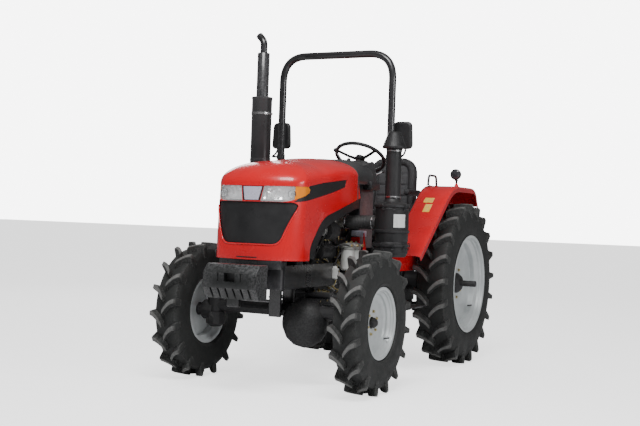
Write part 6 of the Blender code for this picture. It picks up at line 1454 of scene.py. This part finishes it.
def makeEngineBay():
    cover = bmesh.new()
    addBlock(cover, (-0.080, -1.755, 1.258), (0.090, -1.235, 1.318))
    for y in engine["caps"]:
        addTurned(cover, [(1.300, 0.014), (1.326, 0.013)], "Z", (0.005, y, 0), 20)
    addPiece("rocker_cover", cover, "castBlack", bend=30, bevel=0.012, steps=3)
    bright = bmesh.new()
    for y in engine["caps"]:
        addBolt(bright, (0.005, y, 1.326), "Z", 0.010, 0.010)
    for y in engine["bolts"]:
        for z in engine["levels"]:
            addBolt(bright, (0.155, y + dice.uniform(-0.02, 0.02),
                             z + dice.uniform(-0.012, 0.012)), "X",
                    dice.uniform(0.0055, 0.0085), 0.009)
        addBolt(bright, (0.115, y, 1.20 + dice.uniform(-0.02, 0.03)), "X", 0.007, 0.010)
        addBolt(bright, (0.120, y + 0.03, 0.575), "X", 0.0065, 0.008)
    addPiece("engine_bolts", bright, "zincYellow", bend=30)
    chance = random.Random(23)
    for finish, label in (("castAlloy", "bright_fittings"), ("zincYellow", "plated_fittings")):
        form = bmesh.new()
        for k in range(engine["fittings"]):
            place = (engine["side"], chance.uniform(-1.76, -1.24), chance.uniform(0.62, 1.06))
            addBolt(form, place, "X", chance.uniform(0.006, 0.012), chance.uniform(0.012, 0.030))
        for k in range(engine["pipes"]):
            y, z = chance.uniform(-1.72, -1.35), chance.uniform(0.66, 1.02)
            addLine(form, [(0.154, y, z), (0.180, y, z), (0.180, y + chance.uniform(0.05, 0.12),
                           z + chance.uniform(-0.10, 0.03)), (0.154, y + 0.10, z - 0.05)], 0.0035)
        addPiece(label, form, finish, bend=35)
    # injection pump with its unions, lines and a row of injectors
    pump = bmesh.new()
    for k in range(4):
        y = -1.695 + 0.045 * k
        addTurned(pump, [(0.985, 0.013), (1.000, 0.013), (1.004, 0.009), (1.024, 0.009)], "Z",
                  (0.176, y, 0), 16)
    addBlock(pump, (0.157, -1.715, 0.955), (0.200, -1.528, 0.990))
    addTurned(pump, [(-1.745, 0.050), (-1.722, 0.050)], "Y", (0.165, 0, 0.94), 32)
    addPiece("pump_body", pump, "castBlack", bend=35, bevel=0.003)
    unions = bmesh.new()
    lines = bmesh.new()
    for k in range(4):
        y, far = -1.695 + 0.045 * k, -1.70 + 0.125 * k
        addTurned(unions, [(1.020, 0.0085), (1.034, 0.0085)], "Z", (0.176, y, 0), 6)
        addTurned(unions, [(1.195, 0.012), (1.236, 0.012), (1.240, 0.007), (1.262, 0.007)], "Z",
                  (0.1265, far, 0), 6)
        addLine(lines, [(0.176, y, 1.030), (0.176, y, 1.075 + 0.012 * k),
                        (0.168, far, 1.125 + 0.014 * k),
                        (0.1265, far, 1.290), (0.1265, far, 1.258)], 0.0032, 0.025)
    addPiece("fuel_unions", unions, "zincYellow", bend=30)
    addPiece("injector_lines", lines, "copperLine", bend=60)
    # fan, pulleys and belt ahead of the block
    fan = bmesh.new()
    y = engine["fanPlace"]
    addTurned(fan, [(y - 0.020, 0.045), (y + 0.012, 0.048), (y + 0.075, 0.020)], "Y",
              (0, y, 1.075), 32)
    for k in range(engine["blades"]):
        angle = 2 * math.pi * k / engine["blades"] + 0.2
        out = Vector((math.cos(angle), 0, math.sin(angle)))
        side = Vector((-math.sin(angle), 0, math.cos(angle)))
        blade = []
        for r, wide in ((0.035, 0.022), (0.10, 0.036), (0.150, 0.044), (0.165, 0.040)):
            ring = []
            for a, b in ((-1, -0.6), (0, -0.2), (1, 0.9), (1, 1.05), (0, -0.03), (-1, -0.45)):
                ring.append(fan.verts.new(Vector((0, y - 0.004, 1.075)) + out * r + side * wide * a
                                          + Vector((0, 0.016 * b, 0))))
            blade.append(ring)
        loftSections(fan, blade)
    addPiece("cooling_fan", fan, "mouldedBlack", bend=40)
    pulleys = bmesh.new()
    belt = bmesh.new()
    spots = ((0.0, 0.735, 0.072), (0.0, 1.075, 0.050), (0.228, 1.098, 0.034))
    for x, z, r in spots:
        addTurned(pulleys, [(-1.822, r), (-1.818, r + 0.004), (-1.812, r - 0.006),
                            (-1.804, r - 0.006),
                            (-1.798, r + 0.004), (-1.794, r), (-1.782, 0.016)], "Y", (x, 0, z), 40)
    loop = []
    for i, (x, z, r) in enumerate(spots):
        a0, a1 = ((150, 335), (95, 210), (-40, 95))[i]
        reach = r + 0.001
        for k in range(11):
            angle = math.radians(a0 + (a1 - a0) * k / 10)
            loop.append((i, Vector((x + reach * math.cos(angle), -1.808,
                                    z + reach * math.sin(angle)))))
    ordered = [p for turn in (0, 2, 1) for i, p in loop if i == turn]
    addTube(belt, ordered, 0.0058, 8, closed=True)
    addPiece("pulleys", pulleys, "castAlloy", bend=35)
    addPiece("fan_belt", belt, "hoseRubber", bend=50)
    # generator, water hoses, oil filter, dipstick, wiring
    spin = bmesh.new()
    addTurned(spin, [(-1.768, 0.030), (-1.764, 0.060), (-1.700, 0.066), (-1.640, 0.064),
                     (-1.626, 0.050),
                     (-1.618, 0.022)], "Y", (0.228, 0, 1.098), 36)
    addPiece("generator_case", spin, "castBlack", bend=35)
    hoses = bmesh.new()
    addLine(hoses, [(0.02, -1.75, 1.215), (0.02, -1.80, 1.285), (0.06, -1.98, 1.300),
                    (0.06, -2.085, 1.300)],
            0.021, 0.07)
    addLine(hoses, [(0.14, -1.70, 0.760), (0.190, -1.80, 0.740), (0.185, -2.00, 0.900),
                    (0.185, -2.085, 0.905)],
            0.019, 0.07)
    addPiece("water_hoses", hoses, "hoseRubber", bend=50)
    oil = bmesh.new()
    addTurned(oil, [(0.156, 0.040), (0.175, 0.040), (0.178, 0.046), (0.250, 0.046), (0.262, 0.040),
                    (0.266, 0.020)], "X", (0, -1.315, 0.755), 36)
    addPiece("oil_filter", oil, "blackGloss", bend=35)
    wires = bmesh.new()
    for shift in range(5):
        sag = 0.010 * shift
        addLine(wires, [(0.165 + 0.004 * shift, -1.20, 1.10 - sag), (0.185, -1.36, 1.015 - sag),
                        (0.190 + 0.006 * shift, -1.56, 1.045 - sag),
                        (0.205, -1.68, 1.13 - 0.5 * sag)],
                0.0035, 0.06)
    addLine(wires, [(0.300, -1.491, 0.990), (0.262, -1.545, 1.000), (0.19, -1.62, 0.960)], 0.0055,
            0.03)
    addLine(wires, [(0.300, -1.302, 0.990), (0.262, -1.262, 0.992), (0.15, -1.25, 0.960)], 0.0055,
            0.03)
    addLine(wires, [(0.212, -1.56, 0.835), (0.225, -1.535, 0.90), (0.262, -1.488, 0.985)], 0.0050,
            0.03)
    addPiece("wiring_loom", wires, "hoseRubber", bend=50)
    stick = bmesh.new()
    addLine(stick, [(0.150, -1.44, 0.66), (0.178, -1.44, 0.74), (0.182, -1.43, 1.02),
                    (0.170, -1.425, 1.075)],
            0.0045, 0.03)
    addTube(stick, [(0.152, -1.425, 1.080), (0.188, -1.425, 1.080)], 0.0045, 8)
    addPiece("dipstick", stick, "zincYellow", bend=50)
    brackets = bmesh.new()
    addBlock(brackets, (0.195, -1.245, 1.055), (0.300, -1.185, 1.100))
    addPiece("fuse_box", brackets, "lilacPlate", bend=30, bevel=0.006)
    red = bmesh.new()
    addBlock(red, (0.190, -1.235, 0.955), (0.262, -1.222, 1.050))
    addPiece("support_plate", red, "redPaint", bend=30, bevel=0.003)
    skirt = bmesh.new()
    for side in (1, -1):
        outline = [(-2.205, 0.905), (-2.205, 0.985), (-2.025, 1.188), (-1.43, 1.340),
                   (-1.43, 1.268),
                   (-1.700, 1.200), (-1.935, 1.130), (-2.040, 1.040), (-2.105, 0.960),
                   (-2.120, 0.905)]
        top = roundCorners([(y, z, 0) for y, z in outline[:4]], 0.10, 8)
        low = roundCorners([(y, z, 0) for y, z in outline[4:]], 0.08, 6)
        edge = [(p.x - 0.006, p.y + 0.004) for p in top] + [(p.x, p.y) for p in low]
        addPrism(skirt, edge, "X", side * 0.3215, side * 0.3275)
    addPiece("bonnet_skirt", skirt, "mouldedBlack", body="bonnet", bend=30, bevel=0.0015)


makeEngineBay()
print("engine bay ready")


# dash, levers and hand wheel

dash = dict(dials=(-0.085, 0.0, 0.085), dialHeight=1.606, pedals=(-0.175, 0.125, 0.190),
            cowlFront=-1.402, cowlLength=0.46, cowlHalf=0.292, cowlLow=1.45)


def makeDash():
    cowl = bmesh.new()
    addBlock(cowl, (-0.150, -0.915, 1.560), (0.150, -0.852, 1.652))
    addPiece("instrument_hood", cowl, "mouldedBlack", bend=30, bevel=0.018, steps=4)
    dial = bmesh.new()
    for x in dash["dials"]:
        addTurned(dial, [(-0.8525, 0.036), (-0.8495, 0.036), (-0.8485, 0.031), (-0.8505, 0.030)],
                  "Y",
                  (x, 0, dash["dialHeight"]), 36)
    addPiece("dial_rings", dial, "bareSteel", bend=35)
    faces = bmesh.new()
    for x in dash["dials"]:
        addTurned(faces, [(-0.8530, 0.0305), (-0.8505, 0.0300)], "Y", (x, 0, dash["dialHeight"]),
                  36)
    addPiece("dial_faces", faces, "darkGlass", bend=35)
    seal = bmesh.new()
    ring = [bonnetPoint(0.0, 0.72 + 0.28 * i / 8, 0.002) for i in range(8)]
    ring += [bonnetPoint(0.0, 1 + (i / 22) ** 1.15, 0.002) for i in range(23)]
    ring = [Vector((p.x, -1.446, p.z)) for p in ring]
    full = ring + [Vector((-p.x, p.y, p.z)) for p in reversed(ring[:-1])]
    addTube(seal, full, 0.0075, 10)
    addPiece("bonnet_seal", seal, "hoseRubber", body="bonnet", bend=50)
    form = bmesh.new()
    rings = []
    for share in (0.0, 0.015, 0.06, 0.15, 0.3, 0.45, 0.6, 0.75, 0.88, 0.96, 0.99, 1.0):
        shrink = {0.0: 0.975, 0.99: 0.985, 1.0: 0.955}.get(share, 1.0)
        half, low = (dash["cowlHalf"] - 0.052 * share ** 1.5) * shrink, dash["cowlLow"]
        rise = 1.598 + 0.049 * math.sin(min(share * 1.5, 1) * math.pi / 2)
        crown = (rise - low) * shrink + low
        section = [(half * 0.97, low), (half, 1.462)]
        for k in range(25):
            angle = math.pi * k / 24
            c, s = math.cos(angle), math.sin(angle)
            section.append((math.copysign(abs(c) ** 0.80, c) * half,
                            1.475 + (crown - 1.475) * s ** 0.80))
        section += [(-half, 1.462), (-half * 0.97, low)]
        y = dash["cowlFront"] + dash["cowlLength"] * share
        rings.append([form.verts.new((x, y, z)) for x, z in section])
    loftSections(form, rings)
    addPiece("dash_cowl", form, "satinBlack", bend=40)
    column = bmesh.new()
    top, low = Vector((0, -0.714, 1.650)), Vector((0, -0.905, 1.335))
    addTube(column, [low, low.lerp(top, 0.5), low.lerp(top, 0.52), top],
            [0.036, 0.034, 0.030, 0.029], 24)
    addPiece("column_jacket", column, "mauvePaint", bend=35)
    levers = bmesh.new()
    knobs = bmesh.new()
    for start, end, size in (((0.03, -0.83, 1.56), (0.135, -0.760, 1.640), 0.013),
                             ((-0.03, -0.83, 1.56), (-0.190, -0.770, 1.745), 0.017),
                             ((0.12, -0.86, 1.52), (0.235, -0.760, 1.575), 0.012)):
        start, end = Vector(start), Vector(end)
        addTube(levers, [start, start.lerp(end, 0.5) + Vector((0, 0.01, -0.008)), end], 0.0055, 12)
        middle = end
        addTurned(knobs, [(middle.z - size, size * 0.35), (middle.z - size * 0.7, size * 0.75),
                          (middle.z, size), (middle.z + size * 0.7, size * 0.75),
                          (middle.z + size, size * 0.2)], "Z", (middle.x, middle.y, 0), 20)
    addPiece("hand_levers", levers, "bareSteel", bend=50)
    addPiece("lever_knobs", knobs, "mouldedBlack", bend=50)
    pedals = bmesh.new()
    for x in dash["pedals"]:
        addBlock(pedals, (x - 0.030, -0.882, 0.905), (x + 0.030, -0.872, 0.975))
        addTube(pedals, [(x, -0.876, 0.93), (x, -0.90, 0.86), (x, -0.93, 0.815)], 0.008, 10)
    addPiece("foot_pedals", pedals, "castBlack", bend=30, bevel=0.004)
    side = bmesh.new()
    addBlock(side, (0.2152, -1.150, 0.965), (0.2215, -0.905, 1.400))
    addPiece("console_side", side, "mauvePaint", bend=30, bevel=0.003)
    box = bmesh.new()
    addBlock(box, (0.2155, -1.090, 1.415), (0.285, -0.930, 1.480))
    addPiece("relay_box", box, "mouldedBlack", bend=30, bevel=0.006)


handWheel = dict(place=(0, -0.690, 1.690), lean=-31, radius=0.200, grip=0.0152, spokes=3)


def makeHandWheel():
    form = bmesh.new()
    turn = Matrix.Rotation(math.radians(handWheel["lean"]), 4, "X")
    place = Matrix.Translation(handWheel["place"]) @ turn
    radius, spokes = handWheel["radius"], handWheel["spokes"]
    ring = [Vector((radius * math.cos(a), radius * math.sin(a), 0))
            for a in [2 * math.pi * k / 72 for k in range(72)]]
    addTube(form, ring, handWheel["grip"], 18, closed=True)
    for k in range(spokes):
        angle = 2 * math.pi * k / spokes + math.pi / 2
        way = Vector((math.cos(angle), math.sin(angle), 0))
        addTube(form, [way * 0.025 + Vector((0, 0, -0.022)), way * 0.09 + Vector((0, 0, -0.020)),
                       way * 0.165 + Vector((0, 0, -0.006)), way * 0.195],
                       [0.016, 0.0135, 0.0125, 0.0120],
                14, flat=0.7)
    addTurned(form, [(-0.034, 0.030), (-0.026, 0.040), (-0.010, 0.042), (0.004, 0.037),
                     (0.010, 0.024),
                     (0.011, 0.004)], "Z", (0, 0, 0), 36)
    form.transform(place)
    knob = place @ Vector((-0.150, 0.115, 0.0))
    addTurned(form, [(knob.z + 0.008, 0.008), (knob.z + 0.020, 0.008), (knob.z + 0.028, 0.016),
                     (knob.z + 0.044, 0.018), (knob.z + 0.056, 0.013), (knob.z + 0.060, 0.004)],
                     "Z",
              (knob.x, knob.y, 0), 24)
    addPiece("steering_wheel_moulded", form, "mouldedBlack", ["steering_wheel"], body="hand_wheel",
             bend=45)


makeDash()
makeHandWheel()
print("dash ready")


# seat

seat = dict(half=0.189, roll=0.036, height=1.222, cushion=(0.330, 0.360, 0.085),
            cushionSeams=(-0.45, 0.05, 0.55), back=(0.325, 0.500, 0.075),
            backSeams=(-0.62, -0.22, 0.18, 0.58), foot=(0, -0.012, 1.180), lean=83.3)


def padForm(wide, long, thick, channels, crown=0.35, rows=46, pull=0.03):
    # a crowned closed pad with sewn channels across it, lying in the XY plane
    form = bmesh.new()
    sheets = []
    for face in (1, -1):
        grid = []
        for j in range(rows + 1):
            v = -1 + 2 * j / rows
            row = []
            for i in range(rows + 1):
                u = -1 + 2 * i / rows
                edge = max((1 - abs(u) ** 5) * (1 - abs(v) ** 5), 0) ** 0.42
                height = thick / 2 * edge * (1 - crown * 0.25 * (u * u + v * v))
                if face > 0:
                    for place in channels:
                        height -= 0.010 * math.exp(-((v - place) * long / 2 / 0.006) ** 2) * edge
                    height -= 0.008 * math.exp(-((abs(u) - 0.86) * wide / 2 / 0.005) ** 2) * edge
                inset = 1 - pull * (1 - v * v)
                row.append(form.verts.new((u * wide / 2 * inset,
                                           v * long / 2 * (1 - pull * (1 - u * u)),
                                           height if face > 0 else -height * 0.5)))
            grid.append(row)
        sheets.append(grid)
        for a, b in zip(grid, grid[1:]):
            for i in range(rows):
                form.faces.new((a[i], a[i + 1], b[i + 1], b[i]))
    bmesh.ops.remove_doubles(form, verts=form.verts, dist=1e-5)
    return form


def bolsterForm(points, wide, tall, sides=24, power=2.6):
    form = bmesh.new()
    points = [Vector(point) for point in points]
    rings = []
    for i, point in enumerate(points):
        before, after = points[max(i - 1, 0)], points[min(i + 1, len(points) - 1)]
        heading = (after - before).normalized()
        side = Vector((0, 0, 1)).cross(heading).normalized()
        near = min(i, len(points) - 1 - i)
        grow = (0.55, 0.85, 0.97)[near] if near < 3 else 1.0
        ring = []
        for k in range(sides):
            angle = 2 * math.pi * k / sides
            c, s = math.cos(angle), math.sin(angle)
            a = math.copysign(abs(c) ** (2 / power), c) * wide * grow
            b = math.copysign(abs(s) ** (2 / power), s) * tall * grow
            ring.append(form.verts.new(point + side * a + Vector((0, 0, b))))
        rings.append(ring)
    loftSections(form, rings)
    return form


def makeSeat():
    # cushion: a U of bolster round a channelled pad, both over a moulded tray
    half = seat["half"]
    path = roundCorners([(-half, -0.085, 0), (-half, -0.484, 0), (half, -0.484, 0),
                         (half, -0.085, 0)],
                        0.10, 10)
    roll = bolsterForm(resample(path, 0.02), seat["roll"], 0.050)
    roll.transform(Matrix.Translation((0, 0, seat["height"])))
    bolster = addPiece("seat_cushion_bolster", roll, "seatVinyl", ["seat_cushion"], bend=60)
    pad = padForm(*seat["cushion"], seat["cushionSeams"])
    pad.transform(Matrix.Translation((0, -0.285, seat["height"])))
    pad = addPiece("seat_cushion_pad", pad, "seatPanel", bend=60)
    tray = bmesh.new()
    addBlock(tray, (-0.215, -0.505, 1.1505), (0.215, -0.075, 1.190))
    addPiece("seat_tray", tray, "mouldedBlack", bend=30, bevel=0.016, steps=4)
    # backrest: the same, stood up and leaned back
    lean = Matrix.Translation(seat["foot"]) @ Matrix.Rotation(math.radians(seat["lean"]), 4, "X")
    path = roundCorners([(-half, 0.03, 0), (-half + 0.012, 0.520, 0), (half - 0.012, 0.520, 0),
                         (half, 0.03, 0)], 0.11, 10)
    roll = bolsterForm(resample(path, 0.02), seat["roll"], 0.046)
    roll.transform(lean)
    bolster = addPiece("seat_back_bolster", roll, "seatVinyl", ["seat_back"], bend=60)
    pad = padForm(*seat["back"], seat["backSeams"])
    pad.transform(lean @ Matrix.Translation((0, 0.270, 0.004)))
    pad = addPiece("seat_back_pad", pad, "seatPanel", bend=60)
    shell = bmesh.new()
    outline = roundCorners([(-0.200, 0.0, 0), (0.200, 0.0, 0), (0.188, 0.540, 0),
                            (-0.188, 0.540, 0)],
                           0.09, 8, closed=True)
    addPrism(shell, [(p.x, p.y) for p in outline], "Z", -0.050, -0.024)
    shell.transform(lean)
    addPiece("seat_shell", shell, "mouldedBlack", bend=30, bevel=0.010, steps=3)
    rest = bmesh.new()
    for side in (1, -1):
        addBlock(rest, (side * 0.240, -0.330, 1.400), (side * 0.292, -0.040, 1.452))
    addPiece("arm_rests", rest, "seatVinyl", bend=30, bevel=0.018, steps=4)
    arms = bmesh.new()
    for side in (1, -1):
        addTube(arms, roundCorners([(side * 0.215, 0.0, 1.330), (side * 0.262, -0.01, 1.345),
                                    (side * 0.266, -0.06, 1.402)], 0.03, 6), 0.010, 12)
    addPiece("arm_brackets", arms, "blackGloss", bend=50)


makeSeat()
print("seat ready")

# floor, backdrop light and studio lamps

studio = dict(floor=60.0, sky=0.46, gloss=0.16, backdrop=7.0, glow=1.5, key=(430, 3.4),
              fill=(90, 1.8), rear=(90, 3.0))


def makeFloor():
    form = bmesh.new()
    half = studio["floor"]
    form.faces.new([form.verts.new((x, y, 0)) for x, y in (
        (-half, -half), (half, -half), (half, half), (-half, half))])
    mesh = bpy.data.meshes.new("studio_floor")
    form.to_mesh(mesh)
    form.free()
    floor = bpy.data.objects.new("studio_floor", mesh)
    bpy.context.scene.collection.objects.link(floor)
    material = bpy.data.materials.new("paleFloor")
    material.use_nodes = True
    tree = material.node_tree
    shader = tree.nodes["Principled BSDF"]
    tone = useGroup(tree, "patchyTone", First=(0.86, 0.86, 0.87, 1), Second=(0.83, 0.83, 0.84, 1),
                    Scale=1.2)
    tree.links.new(tone.outputs["Color"], shader.inputs["Base Color"])
    shader.inputs["Roughness"].default_value = 0.7
    shader.inputs["Emission Color"].default_value = (1.0, 1.0, 1.0, 1)
    path = tree.nodes.new("ShaderNodeLightPath")
    tree.links.new(timed(tree, path.outputs["Is Camera Ray"], studio["glow"]),
                   shader.inputs["Emission Strength"])
    mesh.materials.append(material)


def makeLamp(name, power, size, place, target, colour=(1, 1, 1)):
    data = bpy.data.lights.new(name, "AREA")
    data.energy = power
    data.shape = "RECTANGLE"
    data.size = size
    data.size_y = size * 0.6
    data.color = colour
    lamp = bpy.data.objects.new(name, data)
    lamp.location = place
    lamp.rotation_mode = "QUATERNION"
    lamp.rotation_quaternion = (Vector(target) - Vector(place)).to_track_quat("-Z", "Y")
    bpy.context.scene.collection.objects.link(lamp)


def makeWorld():
    world = bpy.data.worlds.new("studio")
    world.use_nodes = True
    tree = world.node_tree
    back = tree.nodes["Background"]
    back.inputs["Color"].default_value = (1.0, 1.0, 1.0, 1)
    path = tree.nodes.new("ShaderNodeLightPath")
    light = ranged(tree, path.outputs["Is Glossy Ray"], 0, 1, studio["sky"], studio["gloss"])
    tree.links.new(ranged(tree, path.outputs["Is Camera Ray"], 0, 1, light, studio["backdrop"]),
                   back.inputs["Strength"])
    bpy.context.scene.world = world


makeFloor()
makeWorld()
makeLamp("key", *studio["key"], (1.5, -4.5, 6.0), (0, -0.5, 0.8))
makeLamp("fill", *studio["fill"], (6.5, -2.0, 3.0), (0, -0.2, 0.9))
makeLamp("rear", *studio["rear"], (-5.0, 5.0, 4.5), (0, 0, 1.0))
print("studio ready")
